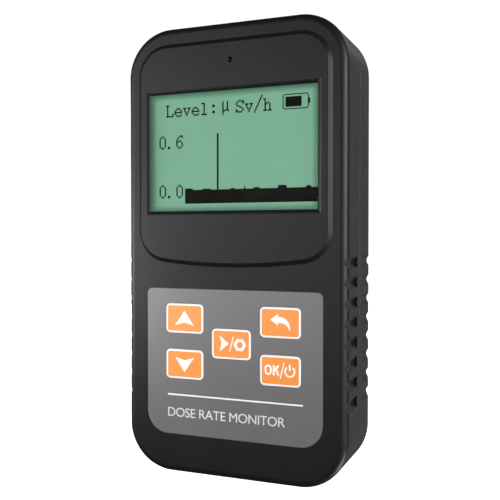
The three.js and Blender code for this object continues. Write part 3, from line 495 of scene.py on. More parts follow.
aluminium = metal("aluminium_can", (0.68, 0.69, 0.70, 1), (0.80, 0.81, 0.82, 1), 0.3, (1, 0.08, 1))
copper = metal("enamelled_copper", (0.36, 0.10, 0.03, 1), (0.62, 0.22, 0.07, 1), 0.3, (0.06, 0.06, 1.6), 0.5)


def screen_green():
    """Green display glass, lit from behind, with painted shade just inside the rim of its window, where the
    rim's shadow falls.
    """
    material, tree, shader = start("screen_green", roughness=0.5, specular=0.1)
    axes = add(tree, "SeparateXYZ", {"Vector": object_place(tree)})
    # painted shade: the glass and its backlight darken towards each edge of the window, standing in for the
    # shadow of its rim
    shade = 1.0
    for axis, low, high in (("X", *PAINTED_SHADOW_SIDES), ("Z", *PAINTED_SHADOW_HEIGHTS)):
        for edge, sign in ((low, 1), (high, -1)):
            ends = (edge * MM, (edge + sign * RIM_SHADE) * MM)
            shade = calculate(tree, "MULTIPLY", shade, remap(tree, axes.outputs[axis], 0, 1, ends))
    tone = blend(tree, shade, (0.36, 0.42, 0.38, 1), grey(1.0))
    fine = remap(tree, noise(tree, 120, 2), 0.985, 1.015)
    shaded = add(tree, "VectorMath", {0: tone, "Scale": fine}, operation="SCALE").outputs["Vector"]
    for socket, green in (("Base Color", (0.03, 0.06, 0.045)), ("Emission Color", (0.176, 0.362, 0.256))):
        tint = add(tree, "VectorMath", {0: shaded, 1: green}, operation="MULTIPLY")
        tree.links.new(tint.outputs["Vector"], shader.inputs[socket])
    shader.inputs["Emission Strength"].default_value = 1.0
    bump(tree, shader, noise(tree, 4000, 1), 0.05, 0.01)
    return material


def clear_lens():
    """Clear acrylic: lets the light straight through and mirrors a little more at a slant."""
    material = bpy.data.materials.new("clear_lens")
    material.use_nodes = True
    tree = material.node_tree
    tree.nodes.remove(tree.nodes["Principled BSDF"])
    output = tree.nodes["Material Output"]
    through = add(tree, "BsdfTransparent", {"Color": (0.95, 0.97, 0.955, 1)})
    rough = remap(tree, noise(tree, 60, 3), 0.06, 0.12)
    mirror = add(tree, "BsdfGlossy", {"Color": grey(0.9), "Roughness": rough})
    fresnel = add(tree, "Fresnel", {"IOR": 1.06})
    mix = add(
        tree,
        "MixShader",
        {0: fresnel.outputs["Fac"], 1: through.outputs["BSDF"], 2: mirror.outputs["BSDF"]},
    )
    tree.links.new(mix.outputs["Shader"], output.inputs["Surface"])
    return material


def circuit_board():
    """Green solder mask over copper tracks."""
    material, tree, shader = start("circuit_board", roughness=0.35)
    upright = {"Vector": object_place(tree), "Rotation": (math.radians(90), 0, 0)}
    tracks = add(
        tree,
        "TexBrick",
        {
            "Vector": add(tree, "Mapping", upright).outputs["Vector"],
            "Scale": 160.0,
            "Mortar Size": 0.03,
            "Color1": (0.012, 0.105, 0.045, 1),
            "Color2": (0.016, 0.125, 0.055, 1),
            "Mortar": (0.05, 0.22, 0.09, 1),
        },
    )
    tree.links.new(tracks.outputs["Color"], shader.inputs["Base Color"])
    bump(tree, shader, tracks.outputs["Fac"], 0.3, 0.03)
    return material


def cell_jacket(index):
    """A battery jacket: metal ends, dark foil with one plain coloured band near the nub."""
    low, high = face_box(f"battery_cell_{index + 1}")[1]
    band_width, margin, metal_end = 12, 0.9, 0.35
    if index == TURNED_CELL:
        low += 1
        band = (low + margin, low + band_width)
    else:
        high -= 1
        band = (high - band_width, high - margin)
    material, tree, shader = start(f"cell_jacket_{index + 1}")
    height = add(tree, "SeparateXYZ", {"Vector": object_place(tree)}).outputs["Z"]

    def between(bottom, top):
        above = calculate(tree, "GREATER_THAN", height, bottom * MM)
        return calculate(tree, "MULTIPLY", above, calculate(tree, "LESS_THAN", height, top * MM))

    jacket = between(low + metal_end, high - metal_end)
    foil = ramp(tree, noise(tree, 70, 3), (0.3, (0.030, 0.034, 0.042, 1)), (0.7, (0.040, 0.045, 0.055, 1)))
    banded = blend(tree, between(*band), foil, (0.72, 0.40, 0.10, 1))
    colour = blend(tree, jacket, (0.66, 0.65, 0.62, 1), banded)
    tree.links.new(colour, shader.inputs["Base Color"])
    tree.links.new(remap(tree, jacket, 1.0, 0.25, (0, 1)), shader.inputs["Metallic"])
    tree.links.new(remap(tree, noise(tree, 200, 2), 0.24, 0.34), shader.inputs["Roughness"])
    bump(tree, shader, noise(tree, 900, 2), 0.05, 0.01)
    return material


def tube_coating():
    """Detector tube glass with its grey conductive coating, slightly banded along the tube."""
    material, tree, shader = start("tube_coating", roughness=0.12, metallic=0.35)
    bands = noise(tree, 300, 3, (0.2, 0.2, 1.0))
    tint = ramp(tree, bands, (0.35, (0.20, 0.19, 0.17, 1)), (0.65, (0.28, 0.265, 0.24, 1)))
    tree.links.new(tint, shader.inputs["Base Color"])
    bump(tree, shader, noise(tree, 500, 2), 0.05, 0.01)
    return material


screen = screen_green()
lens_clear = clear_lens()
board_green = circuit_board()
tube_glass = tube_coating()
ink_black = moulded(
    "display_ink", (0.006, 0.0045, 0.0035, 1), (0.007, 0.005, 0.004, 1), 0.6, 0.02, 3000, 0.05
)

# ---- Case ----


case_outline = rim(((CASE_LEFT, CASE_RIGHT), (CASE_LOW, CASE_HIGH)), CORNER_RADIUS, steps=20)


def panel_outline(inset, steps=14):
    """The display surround: straight top and sides, and a lower edge that bows down, all arcs tangent."""
    radius = PANEL_RADIUS - inset
    bow = PANEL_BOTTOM_RADIUS - inset
    side = PANEL_HALF - PANEL_RADIUS
    bow_centre = PANEL_MIDDLE_LOW + PANEL_BOTTOM_RADIUS
    low = bow_centre - math.sqrt((PANEL_BOTTOM_RADIUS - PANEL_RADIUS) ** 2 - side**2)
    high = PANEL_TOP - PANEL_RADIUS
    lean = math.degrees(math.asin(side / (PANEL_BOTTOM_RADIUS - PANEL_RADIUS)))
    arcs = (
        (side, high, radius, 0, 90),
        (-side, high, radius, 90, 180),
        (-side, low, radius, 180, 270 - lean),
        (0, bow_centre, bow, 270 - lean, 270 + lean),
        (side, low, radius, 270 + lean, 360),
    )
    points = []
    for x, z, size, begin, end in arcs:
        skip = 1 if points and size != radius else 0
        stop = steps if size == radius else steps - 1
        for i in range(skip, stop + 1):
            angle = math.radians(begin + (end - begin) * i / steps)
            points.append((x + size * math.cos(angle), z + size * math.sin(angle)))
    return points


def notch_cutters(near, far):
    """Scoops in both side walls. Their floor follows a cosine, so they run out softly."""
    steps = 20
    cutters = []
    for row in range(NOTCH_COUNT):
        z = NOTCH_TOP - row * NOTCH_PITCH
        for side in (-1, 1):
            wall = side * HALF_WIDTH
            outline = [(wall + side, z - NOTCH_HALF_HEIGHT), (wall + side, z + NOTCH_HALF_HEIGHT)]
            for i in range(steps + 1):
                across = 1 - 2 * i / steps
                bite = NOTCH_BITE * math.cos(across * math.pi / 2)
                outline.append((wall - side * bite, z + across * NOTCH_HALF_HEIGHT))
            cutters.append(closed([[(x, depth, pz) for x, pz in outline] for depth in (near, far)]))
    return cutters


def screw_places():
    return [(index, *centre_of(f"case_screw_{index}")) for index in range(1, 5)]


def key_face(name):
    """The key's visible face: its CAD box without the collar that holds it behind the case wall."""
    (left, right), (low, high) = face_box("key_" + name)
    return (left + KEY_COLLAR, right - KEY_COLLAR), (low + KEY_COLLAR, high - KEY_COLLAR)


def key_outline(name, grow=0.0):
    return rim(key_face(name), KEY_RADIUS, steps=6, grow=grow)


def window_outline(grow, steps=3):
    radius = 0.25 + max(grow, 0) * 0.15
    return rounded(
        -WINDOW_HALF - grow, WINDOW_HALF + grow, WINDOW_LOW - grow, WINDOW_HIGH + grow, radius, steps=steps
    )


def build_front_shell():
    seam = SEAM - SEAM_GAP / 2
    outside = front_round(FRONT_EDGE, 0.0, 12)
    outside += [(0.0, seam - SEAM_CHAMFER), (SEAM_CHAMFER, seam), (WALL, seam), (WALL, WALL)]
    shell = as_object(lofted(case_outline, outside))
    slope = [
        (0.0, WALL * 0.6),
        (0.0, -0.01),
        (PANEL_SLOPE - 0.16, PANEL_FACE + 0.09),
        (PANEL_SLOPE - 0.08, PANEL_FACE + 0.03),
        (PANEL_SLOPE + 0.04, PANEL_FACE),
    ]
    weld(shell, lofted(panel_outline, slope))
    root = WALL * 0.8
    radius, bore = CASE_POST
    for _, x, z in screw_places():
        weld(shell, rod(radius, root, seam - 0.1, x, z, 40))
        cut(shell, rod(bore, CASE_BORE_START, seam + PASS, x, z, 24))
    radius, bore = BOARD_POST
    for index in (1, 2):
        x, z = centre_of(f"board_screw_{index}")
        weld(shell, rod(radius, root, BOARD_POST_END, x, z, 32))
        cut(shell, rod(bore, BOARD_BORE_START, BOARD_POST_END + PASS, x, z, 20))
    window = [(WINDOW_BEVEL, PANEL_FACE - 0.5)]
    steps = 8
    for i in range(steps + 1):
        turn = math.radians(WINDOW_TURN * i / steps)
        rise = WINDOW_ROUND * (1 - math.cos(turn))
        window.append((WINDOW_BEVEL - WINDOW_ROUND * math.sin(turn), PANEL_FACE + rise))
    window.append((0.0, 0.06))
    half, seat_low, seat_high = WINDOW_HALF + LENS_SEAT, WINDOW_LOW - LENS_SEAT, WINDOW_HIGH + LENS_SEAT
    cut(shell, lofted(window_outline, window))
    cut(shell, block(-half, half, LENS_SEAT_DEPTH, WALL + PASS, seat_low, seat_high))
    hole = flared(LIGHT_EDGE, PANEL_FACE - 0.15, WALL + PASS)
    cut(shell, lofted(lambda inset: circle(0, LIGHT_HEIGHT, LIGHT_HOLE - inset, 24), hole))
    cut(shell, slab(film_outline(FIT), -PASS, FILM_RECESS))
    cut(shell, *[slab(key_outline(name, KEY_SHAFT_GAP), -PASS, WALL + PASS) for name in KEY_NAMES])
    cut(shell, *notch_cutters(-PASS, NOTCH_FRONT_END))
    settle(shell, "front_case", case_plastic, replaces=["front_shell"], sharp=CASE_SHARP)


def build_rear_shell():
    seam = SEAM + SEAM_GAP / 2
    floor = CASE_BACK - WALL
    past_back = CASE_BACK + PASS
    profile = [(WALL, floor), (WALL, seam), (SEAM_CHAMFER, seam), (0.0, seam + SEAM_CHAMFER)]
    profile += back_round(BACK_EDGE, CASE_BACK, 14)
    shell = as_object(lofted(case_outline, profile))
    lip = WALL + LIP_GAP
    lip_profile = [(lip, seam - LIP_REACH), (lip, seam + 1.0)]
    lip_profile += [(lip + LIP_THICKNESS, seam + 1.0), (lip + LIP_THICKNESS, seam - LIP_REACH)]
    ring = as_object(lofted(case_outline, lip_profile, cap=False))
    post_room = CASE_POST[0] + 0.3
    cut(ring, *[rod(post_room, seam - 3, seam, x, z, 40) for _, x, z in screw_places()])
    lip_mesh = bmesh.new()
    lip_mesh.from_mesh(ring.data)
    bpy.data.objects.remove(ring)
    weld(shell, lip_mesh)

    left, right, low, high = BAY
    bay_front = BAY_FLOOR - 1.0
    bay_low, bay_high = low - BAY_END_WALL, high + BAY_END_WALL
    weld(shell, block(CASE_LEFT + 2.3, right + BAY_WALL, bay_front, CASE_BACK - 1, bay_low, bay_high))
    weld(shell, block(CASE_LEFT + 1.0, left, seam + 0.3, CASE_BACK - 1, bay_low, bay_high))
    x, z = SOUNDER_PLACE
    pocket = SOUNDER_RADIUS + 0.3
    weld(shell, rod(pocket + 1, floor - SOUNDER_THICKNESS, floor + 1, x, z, 64))
    cut(shell, rod(pocket, floor - SOUNDER_THICKNESS - PASS, floor, x, z, 64))
    for _, x, z in screw_places():
        weld(shell, rod(SCREW_BORE + BOSS_WALL, seam, CASE_BACK - 1, x, z, 48))
        bore = flared(SCREW_BORE_EDGE, BACK_MOUTH, COUNTERBORE_FLOOR)
        cut(shell, lofted(lambda inset: circle(x, z, SCREW_BORE - inset, 48), bore))
        cut(shell, rod(CASE_POST[1], seam - PASS, COUNTERBORE_FLOOR + PASS, x, z, 24))

    cut(shell, block(left, right, BAY_FLOOR, past_back, low, high))
    cut(shell, slab(door_outline(DOOR_GAP), floor, past_back))
    half = CONTACT_SLOT_HALF
    ends = ((CELL_XS[0], low, low + CONTACT_SLOT), (CELL_XS[2], high - CONTACT_SLOT, high))
    cut(shell, *[block(x - half, x + half, bay_front - PASS, BAY_FLOOR + PASS, a, b) for x, a, b in ends])
    half = DOOR_TAB_WIDTH / 2 + 0.3
    near, low, high = DOOR_TAB_FRONT - 1, high - 1, DOOR_TAB_TOP + 1
    cut(shell, *[block(x - half, x + half, near, floor, low, high) for x in DOOR_TABS])
    cut(shell, *detector_slots())
    cut(shell, *sound_holes())
    label_floor = node_box("rating_label")[1][0] - 0.05
    recess = rim(face_box("rating_label"), LABEL_RADIUS - FIT, steps=4, grow=FIT)
    cut(shell, slab(recess, label_floor, past_back))
    cut(shell, *notch_cutters(NOTCH_BACK_START, past_back))
    settle(shell, "rear_case", case_plastic, replaces=["rear_shell"], sharp=CASE_SHARP)


def flared(edge, mouth, end):
    """A hole's profile from just outside its mouth to its end. The mouth opens by the width of its edge."""
    inward = math.copysign(edge, end - mouth)
    return [(-edge, mouth), (0.0, mouth + inward), (0.0, end)]


def detector_slots():
    half_width, half_height = SLOT_SIZE[0] / 2, SLOT_SIZE[1] / 2
    flare = flared(SLOT_EDGE, BACK_MOUTH, CASE_BACK - WALL - PASS)
    slots = []
    for row in range(SLOT_COUNT):
        z = SLOT_MIDDLE + (row - (SLOT_COUNT - 1) / 2) * SLOT_PITCH
        box = ((TUBE_X - half_width, TUBE_X + half_width), (z - half_height, z + half_height))
        slots.append(lofted(rim(box, half_height, steps=8), flare))
    return slots


def sound_holes():
    middle_x, middle_z = SOUNDER_PLACE
    places = [(middle_x, middle_z)]
    for i in range(6):
        angle = math.radians(60 * i)
        places.append((middle_x + SOUND_RING * math.cos(angle), middle_z + SOUND_RING * math.sin(angle)))
    flare = flared(SOUND_HOLE_EDGE, BACK_MOUTH, CASE_BACK - WALL - PASS)
    return [lofted(lambda i, x=x, z=z: circle(x, z, SOUND_HOLE - i, 28), flare) for x, z in places]


def door_outline(grow):
    return rim(DOOR, DOOR_RADIUS, grow=grow)


def build_battery_door():
    (left, right), (_, high) = DOOR
    inner = CASE_BACK - DOOR_THICKNESS
    door = as_object(slab(door_outline(0.0), inner, CASE_BACK - DOOR_SINK, 0.1, 0.3))
    root = BAY[3] - 0.7
    tab_back = CASE_BACK - WALL - 0.3
    for x in DOOR_TABS:
        side_left, side_right = x - DOOR_TAB_WIDTH / 2, x + DOOR_TAB_WIDTH / 2
        weld(door, block(side_left, side_right, DOOR_TAB_FRONT, inner + 0.8, root, high - 0.3))
        weld(door, block(side_left, side_right, DOOR_TAB_FRONT, tab_back, root, DOOR_TAB_TOP))
    middle = (left + right) / 2
    axis_depth = CASE_BACK + REST_RADIUS - REST_BITE
    end_radius, reach = REST_RADIUS - REST_CHAMFER, REST_HALF_LENGTH
    scoop = [(end_radius, -reach), (REST_RADIUS, -reach + REST_CHAMFER)]
    scoop += [(REST_RADIUS, reach - REST_CHAMFER), (end_radius, reach)]
    cut(door, turned(scoop, "x", (middle, axis_depth, REST_Z), 160))
    half_length, height, half_width = REST_RIB
    for step in (-1, 0, 1):
        offset = step * REST_RIB_PITCH
        depth = axis_depth - math.sqrt(REST_RADIUS**2 - offset**2)
        near, far = depth - 0.3, depth + height
        low, high = REST_Z + offset - half_width, REST_Z + offset + half_width
        weld(door, block(middle - half_length, middle + half_length, near, far, low, high))
    name = "battery_cover_door"
    settle(door, name, case_plastic, "battery_cover", ["battery_door"], CASE_SHARP, 0.06)


def build_case_screws():
    for index, x, z in screw_places():
        name = f"case_screw_{index}"
        near, far = node_box(name)[1]
        head, shank, seat = 2.3, 1.0, far - 1.5
        profile = [(0.3, near), (shank, near + 1.2), (shank, seat), (head, seat), (head, far - 0.45)]
        profile += [(head - 0.12, far - 0.22), (head - 0.5, far - 0.06), (head - 1.1, far)]
        body = as_object(turned(profile, "y", (x, 0, z), 48))
        arm, half = head * 0.55, head * 0.13
        lean = math.radians(20 + 35 * index)  # each screw stopped at its own turn
        for turn in (lean, lean + math.radians(90)):
            across = Vector((math.cos(turn), math.sin(turn)))
            side = Vector((-across.y, across.x))
            corners = [across * a * arm + side * b * half for a, b in ((1, 1), (-1, 1), (-1, -1), (1, -1))]
            recess = [[(x + p.x, depth, z + p.y) for p in corners] for depth in (far - 0.85, far + 0.5)]
            cut(body, closed(recess))
        settle(body, name + "_body", steel, replaces=[name], sharp=35)


def build_cells():
    nub = 1.0
    for index, x in enumerate(CELL_XS):
        name = f"battery_cell_{index + 1}"
        (left, right), (low, high) = face_box(name)
        radius = (right - left) / 2
        length = high - low - nub
        shape = [(2.6, 0.0), (3.3, 0.0), (3.5, 0.18), (4.4, 0.18), (4.6, 0.0), (radius - 0.25, 0.0)]
        shape += [(radius - 0.06, 0.08), (radius, 0.3), (radius, length - 0.4), (radius - 0.1, length - 0.12)]
        shape += [(radius - 0.4, length), (radius - 1.0, length - 0.1), (2.3, length - 0.1)]
        shape += [(1.95, length), (1.9, length + 0.15), (1.9, length + 0.85), (1.75, length + nub)]
        if index == TURNED_CELL:
            profile = [(r, high - along) for r, along in shape]
        else:
            profile = [(r, low + along) for r, along in shape]
        body = turned(profile, "z", (x, CELL_DEPTH, 0), 64)
        settle(body, name + "_body", cell_jacket(index), replaces=[name], sharp=35)


def build_springs():
    wire, turns, sides, steps = 0.35, 3.5, 10, 28
    wide, narrow = 3.6, 2.0
    for index, x in enumerate(CELL_XS):
        name = f"contact_spring_{index + 1}"
        low, high = face_box(name)[1]
        start_z, end_z = low + wire, high - wire
        if index == TURNED_CELL:
            start_z, end_z = end_z, start_z
        rings = []
        count = round(turns * steps)
        for i in range(count + 1):
            t = i / count
            angle = t * turns * 2 * math.pi
            reach = wide - (wide - narrow) * t
            z = start_z + (end_z - start_z) * t
            ring = []
            for k in range(sides):
                a = 2 * math.pi * k / sides
                out = reach + wire * math.cos(a)
                across, back = out * math.cos(angle), out * math.sin(angle)
                ring.append((x + across, CELL_DEPTH + back, z + wire * math.sin(a)))
            rings.append(ring)
        settle(closed(rings), name + "_wire", nickel, replaces=[name], sharp=50)


def build_tube():
    low, high = face_box("detector_tube")[1]
    radius = 5.0
    ends = [(radius - 1.2, 0.0), (radius - 0.5, 0.15), (radius - 0.15, 0.5), (radius, 1.1)]
    profile = [(r, low + along) for r, along in ends] + [(r, high - along) for r, along in reversed(ends)]
    tube = turned(profile, "z", (TUBE_X, TUBE_DEPTH, 0), 64)
    settle(tube, "detector_tube_glass", tube_glass, replaces=["detector_tube"], sharp=50)


def build_light_pipe():
    (left, right), (near, far), _ = node_box("light_pipe")
    x, z = centre_of("light_pipe")
    radius, nose, chamfer = (right - left) / 2, 0.52, 0.12
    shoulder = WALL + 0.3
    profile = [(0.2, near), (0.4, near + 0.06), (nose, near + 0.2), (nose, shoulder)]
    profile += [(radius - chamfer, shoulder), (radius, shoulder + chamfer)]
    profile += [(radius, far - chamfer), (radius - chamfer, far)]
    pipe = turned(profile, "y", (x, 0, z), 48)
    settle(pipe, "light_pipe_rod", smoke_plastic, replaces=["light_pipe"], sharp=40)


def build_rating_label():
    """A blank label with a printed border."""
    (left, right), (near, far), (low, high) = node_box("rating_label")
    label = slab(rim(face_box("rating_label"), LABEL_RADIUS, steps=5), near, far, 0.0, 0.04)
    settle(label, "rating_label_sheet", label_silver, replaces=["rating_label"])
    outer, inner = [
        rounded(left + inset, right - inset, low + inset, high - inset, radius, steps=4)
        for inset, radius in LABEL_BORDER
    ]
    ink = 0.01
    settle(flat_ring(outer, inner, far - ink, ink), "rating_label_border", ink_black)


def film_outline(grow):
    return rim(face_box("keypad_film"), FILM_UPPER_RADIUS, FILM_LOWER_RADIUS, steps=10, grow=grow)


def build_keypad_film():
    near, far = node_box("keypad_film")[1]
    film = as_object(slab(film_outline(0.0), near, far, 0.06, 0.0))
    cut(film, *[slab(key_outline(name, FIT), near - PASS, far + PASS) for name in KEY_NAMES])
    settle(film, "keypad_film_print", film_grey, replaces=["keypad_film"])


# ---- Printed marks: thin flat solids that stand a few hundredths of a millimetre proud ----

INK = 0.02
SLASH_WIDTH = 0.3


def flat_shape(points, face, thickness=INK):
    return closed([[(x, depth, z) for x, z in points] for depth in (face - thickness, face + thickness)])


def flat_ring(outer, inner, face, thickness=INK):
    """A flat frame between two outlines with the same number of points."""
    near, far = face - thickness, face + thickness
    rings = (
        [(x, near, z) for x, z in outer],
        [(x, near, z) for x, z in inner],
        [(x, far, z) for x, z in inner],
        [(x, far, z) for x, z in outer],
    )
    return closed(rings, cap=False)


def ribbon(points, width):
    """A line of constant width through (x, z) points, as an outline."""
    left, right = [], []
    for i, (x, z) in enumerate(points):
        before = points[max(i - 1, 0)]
        after = points[min(i + 1, len(points) - 1)]
        along = Vector((after[0] - before[0], after[1] - before[1])).normalized()
        side = Vector((-along.y, along.x)) * (width / 2)
        left.append((x + side.x, z + side.y))
        right.append((x - side.x, z - side.y))
    return left + right[::-1]


def moved(points, x, z):
    return [(x + px, z + pz) for px, pz in points]


def bezier(start_point, control_a, control_b, end_point, steps=14):
    points = []
    for i in range(steps + 1):
        t = i / steps
        s = 1 - t
        weights = (s**3, 3 * s * s * t, 3 * s * t * t, t**3)
        parts = (start_point, control_a, control_b, end_point)
        points.append(tuple(sum(w * p[k] for w, p in zip(weights, parts)) for k in (0, 1)))
    return points


def arrowhead(direction):
    """A navigation arrowhead round the origin: a triangle with its base drawn in."""
    half, tip, base, notch = 2.85, 2.15, -1.85, -1.05
    shape = [(0, tip), (-half, base), (0, notch), (half, base)]
    if direction == "down":
        return [(x, -z) for x, z in shape]
    if direction == "right":
        scale, narrow = 0.74, 0.9
        return [(z * scale * narrow, x * scale) for x, z in shape]
    return shape


def vertical_symbol(name):
    lift = -0.05 if name == "up" else 0.05
    return [moved(arrowhead(name), 0, lift)]


def settings_symbol():
    """An arrowhead, a slash and a hexagon nut."""
    centre, radius, bore, edge_steps = (2.46, -0.02), 1.8, 0.82, 4
    nut = [(radius * math.cos(math.pi * i / 3), radius * math.sin(math.pi * i / 3)) for i in range(6)]
    outer = []
    for i in range(6):
        (ax, az), (bx, bz) = nut[i], nut[(i + 1) % 6]
        shares = [k / edge_steps for k in range(edge_steps)]
        outer += [(ax + (bx - ax) * share, az + (bz - az) * share) for share in shares]
    slash = ribbon([(-0.42, -2.0), (0.66, 2.1)], SLASH_WIDTH)
    ring = (moved(outer, *centre), circle(*centre, bore, 24))
    return [moved(arrowhead("right"), -2.05, 0.12), slash, ring]


def back_symbol():
    """A return arrow that bends to the left."""
    tail = (2.57, -2.15)
    upper = bezier((-0.59, 1.56), (1.2, 1.5), (3.0, 0.6), tail)
    lower = bezier(tail, (2.2, -0.45), (0.9, 0.0), (-0.59, -0.02))
    return [upper + lower[1:] + [(-0.59, -0.69), (-2.66, 0.75), (-0.59, 2.23)]]


def ok_symbol():
    """The letters O and K, a slash and a power mark."""
    outer = rounded(-4.23, -2.25, -1.17, 1.5, 0.98, steps=6)
    inner = rounded(-3.72, -2.76, -0.66, 0.99, 0.47, steps=6)
    left, stem, low, high = -1.98, -1.45, -1.15, 1.48
    letter_k = [(left, low), (stem, low), (stem, -0.25), (-1.15, 0.05), (-0.78, low), (-0.16, low)]
    letter_k += [(-0.76, 0.42), (-0.2, high), (-0.82, high), (stem, 0.5), (stem, high), (left, high)]
    slash = ribbon([(0.02, -1.95), (1.08, 2.2)], SLASH_WIDTH)
    centre_x, centre_z = 2.61, 0.02
    radius, gap, steps = 1.28, 36, 30
    sweep = []
    for i in range(steps + 1):
        angle = math.radians(90 + gap + (360 - 2 * gap) * i / steps)
        sweep.append((centre_x + radius * math.cos(angle), centre_z + radius * math.sin(angle)))
    half_bar = 0.26
    bar_left, bar_right = centre_x - half_bar, centre_x + half_bar
    bar = rounded(bar_left, bar_right, centre_z + 0.25, centre_z + 1.8, 0.08, steps=2)
    return [(outer, inner), letter_k, slash, ribbon(sweep, 0.44), bar]


SYMBOLS = {
    "up": vertical_symbol("up"),
    "down": vertical_symbol("down"),
    "settings": settings_symbol(),
    "back": back_symbol(),
    "ok": ok_symbol(),
}


def symbol_mesh(name, x, z, face):
    """The white symbol on a key. A pair of outlines stands for a ring."""
    meshes = []
    for shape in SYMBOLS[name]:
        if isinstance(shape, tuple):
            outer, inner = shape
            meshes.append(flat_ring(moved(outer, x, z), moved(inner, x, z), face))
        else:
            meshes.append(flat_shape(moved(shape, x, z), face))
    return merged(meshes)


def build_key(name):
    (left, right), (low, high) = key_face(name)
    near = node_box("key_" + name)[1][0]
    body = "button_" + name
    collar_near, collar_far, chamfer = WALL + 0.35, WALL + 1.2, 0.1
    profile = [(KEY_BORDER + 0.02, near), (KEY_BORDER, near)]
    profile += front_round(0.12, near, 4)
    profile += [(0.0, collar_near), (0.08 - KEY_COLLAR, collar_near), (-KEY_COLLAR, collar_near + chamfer)]
    profile += [(-KEY_COLLAR, collar_far - chamfer), (0.08 - KEY_COLLAR, collar_far)]
    x, z = (left + right) / 2, (low + high) / 2
    piece = as_object(lofted(key_outline(name), profile))
    weld(piece, rod(KEY_STEM_RADIUS, WALL + 1, KEY_STEM_END, x, z, 32))
    half_width = (right - left) / 2 - KEY_BORDER - 0.045
    half_height = (high - low) / 2 - KEY_BORDER - 0.045
    inks = []
    for face in piece.data.polygons:
        centre = face.center
        inside = abs(centre.x - x) < half_width and abs(centre.z - z) < half_height
        inks.append(1 if inside and centre.y < near + 0.005 else 0)
    colours = [print_white, key_orange]
    piece = settle(piece, f"key_{name}_cap", colours, body, ["key_" + name])
    piece.data.polygons.foreach_set("material_index", inks)
    settle(symbol_mesh(name, x, z, near), f"key_{name}_symbol", print_white, body)


RULE = (-18.7, 19.7, 21.08, 21.48)  # left, right, low, high
TEXT_SPAN = (-18.9, 14.35)
TEXT_LOW = 15.35
CAP_HEIGHT = 2.45
CAP_SHARE = 0.7  # of the font size


def build_label_print():
    """The white rule and the line of plain text under the keys."""
    face = node_box("keypad_film")[1][0]
    settle(flat_shape(rounded(*RULE, 0.15, steps=3), face), "keypad_rule", print_white)
    left, right = TEXT_SPAN
    curve = bpy.data.curves.new("keypad_text", "FONT")
    curve.body = "DOSE RATE MONITOR"
    curve.size = CAP_HEIGHT / CAP_SHARE
    curve.extrude = INK
    curve.resolution_u = 6
    text = bpy.data.objects.new("keypad_text", curve)
    bpy.context.scene.collection.objects.link(text)
    bpy.context.view_layer.update()
    plain_width = text.dimensions.x
    count = len(curve.body)
    advance = plain_width / count
    curve.space_character = 1 + (right - left - plain_width) / ((count - 1) * advance)
    bpy.context.view_layer.update()
    graph = bpy.context.evaluated_depsgraph_get()
    data = bpy.data.meshes.new_from_object(text.evaluated_get(graph))
    bpy.data.objects.remove(text)
    letters = bpy.data.objects.new("keypad_text", data)
    bpy.context.scene.collection.objects.link(letters)
    data.transform(Matrix.Translation((left, face, TEXT_LOW)) @ Matrix.Rotation(math.radians(90), 4, "X"))
    settle(letters, "keypad_text", print_pale)


# ---- Display ----

DOT = 0.3225  # pitch of the display's square dots
GLYPHS = {  # rows of dots from the top down; a number and a star before a row repeat it
    "L": "XXX.... 6*.X..... 2*.X....X XXXXXXX",
    "e": "..XXX.. .X...X. X.....X XXXXXXX X...... .X....X ..XXXX.",
    "v": "XXX.XXX 2*.X...X. 2*..X.X.. 2*...X...",
    "l": ".XXX... 8*...X... .XXXXX.",
    ":": "2*XX..... 3*....... 2*XX.....",
    "u": "6*.X...X.. .X..XX.. .XXX.XX. 3*.X......",
    "S": "..XXX.X .X...XX X.....X X...... .XX.... ...XX.. .....X. X.....X XX...X. X.XXX..",
    "/": "2*......X 2*.....X. 2*....X.. 2*...X... 2*..X.... 2*.X..... 2*X......",
    "h": "XX..... 2*.X..... .X.XX.. .XX..X. 4*.X...X. XXX.XXX",
    "0": "..XX.. .X..X. 7*X....X .X..X. ..XX..",
    "6": "...XXX ..X..X .X.... X..... X.XX.. XX..X. 3*X....X .X..X. ..XX..",
    ".": "2*XX",
}


def glyph_rows(glyph):
    rows = []
    for entry in GLYPHS[glyph].split():
        count, _, row = entry.rpartition("*")
        rows += [row] * int(count or 1)
    return rows


def dots(placed_glyphs, low, face):
    """The dots of a line of (glyph, left x, rows below the base line).

    Dots that touch along a row make one bar. Bars of alternate rows come in two lists, because bars of
    neighbouring rows overlap.
    """
    spread = 0.035
    bars = ([], [])
    for glyph, left, drop in placed_glyphs:
        rows = glyph_rows(glyph)
        for row, line in enumerate(rows):
            z = low + (len(rows) - 1 - row - drop) * DOT
            for run in re.finditer("X+", line):
                start_x, end_x = left + run.start() * DOT - spread, left + run.end() * DOT + spread
                bar = block(start_x, end_x, face - INK, face + INK, z - spread, z + DOT + spread)
                bars[row % 2].append(bar)
    return bars


GLYPH_PITCH = 8 * DOT
TITLE_LEFT = -20.05
TITLE_LOW = 96.35
SCALE_LEFT = -22.1
SCALE = ((87.7, "0.6"), (74.35, "0.0"))  # height and figures


def build_characters(face):
    """The line of text and the two figures of the graph's scale."""
    wide = 3 * DOT
    line = [("L", 0, 0, 0), ("e", 1, 0, 0), ("v", 2, 0, 0), ("e", 3, 0, 0), ("l", 4, 0, 0)]
    line += [(":", 5, wide, -1), ("u", 6, wide, 1)]
    line += [("S", 8, 0, 0), ("v", 9, 0, 0), ("/", 10, 0, 1), ("h", 11, 0, 0)]
    title = [(glyph, TITLE_LEFT + column * GLYPH_PITCH + shift, drop) for glyph, column, shift, drop in line]
    even, odd = dots(title, TITLE_LOW, face)
    for low, figures in SCALE:
        placed = [(glyph, SCALE_LEFT + i * GLYPH_PITCH, 0) for i, glyph in enumerate(figures)]
        more_even, more_odd = dots(placed, low, face)
        even += more_even
        odd += more_odd
    characters = as_object(merged(even))
    weld(characters, *odd)
    settle(characters, "lcd_characters", ink_black)


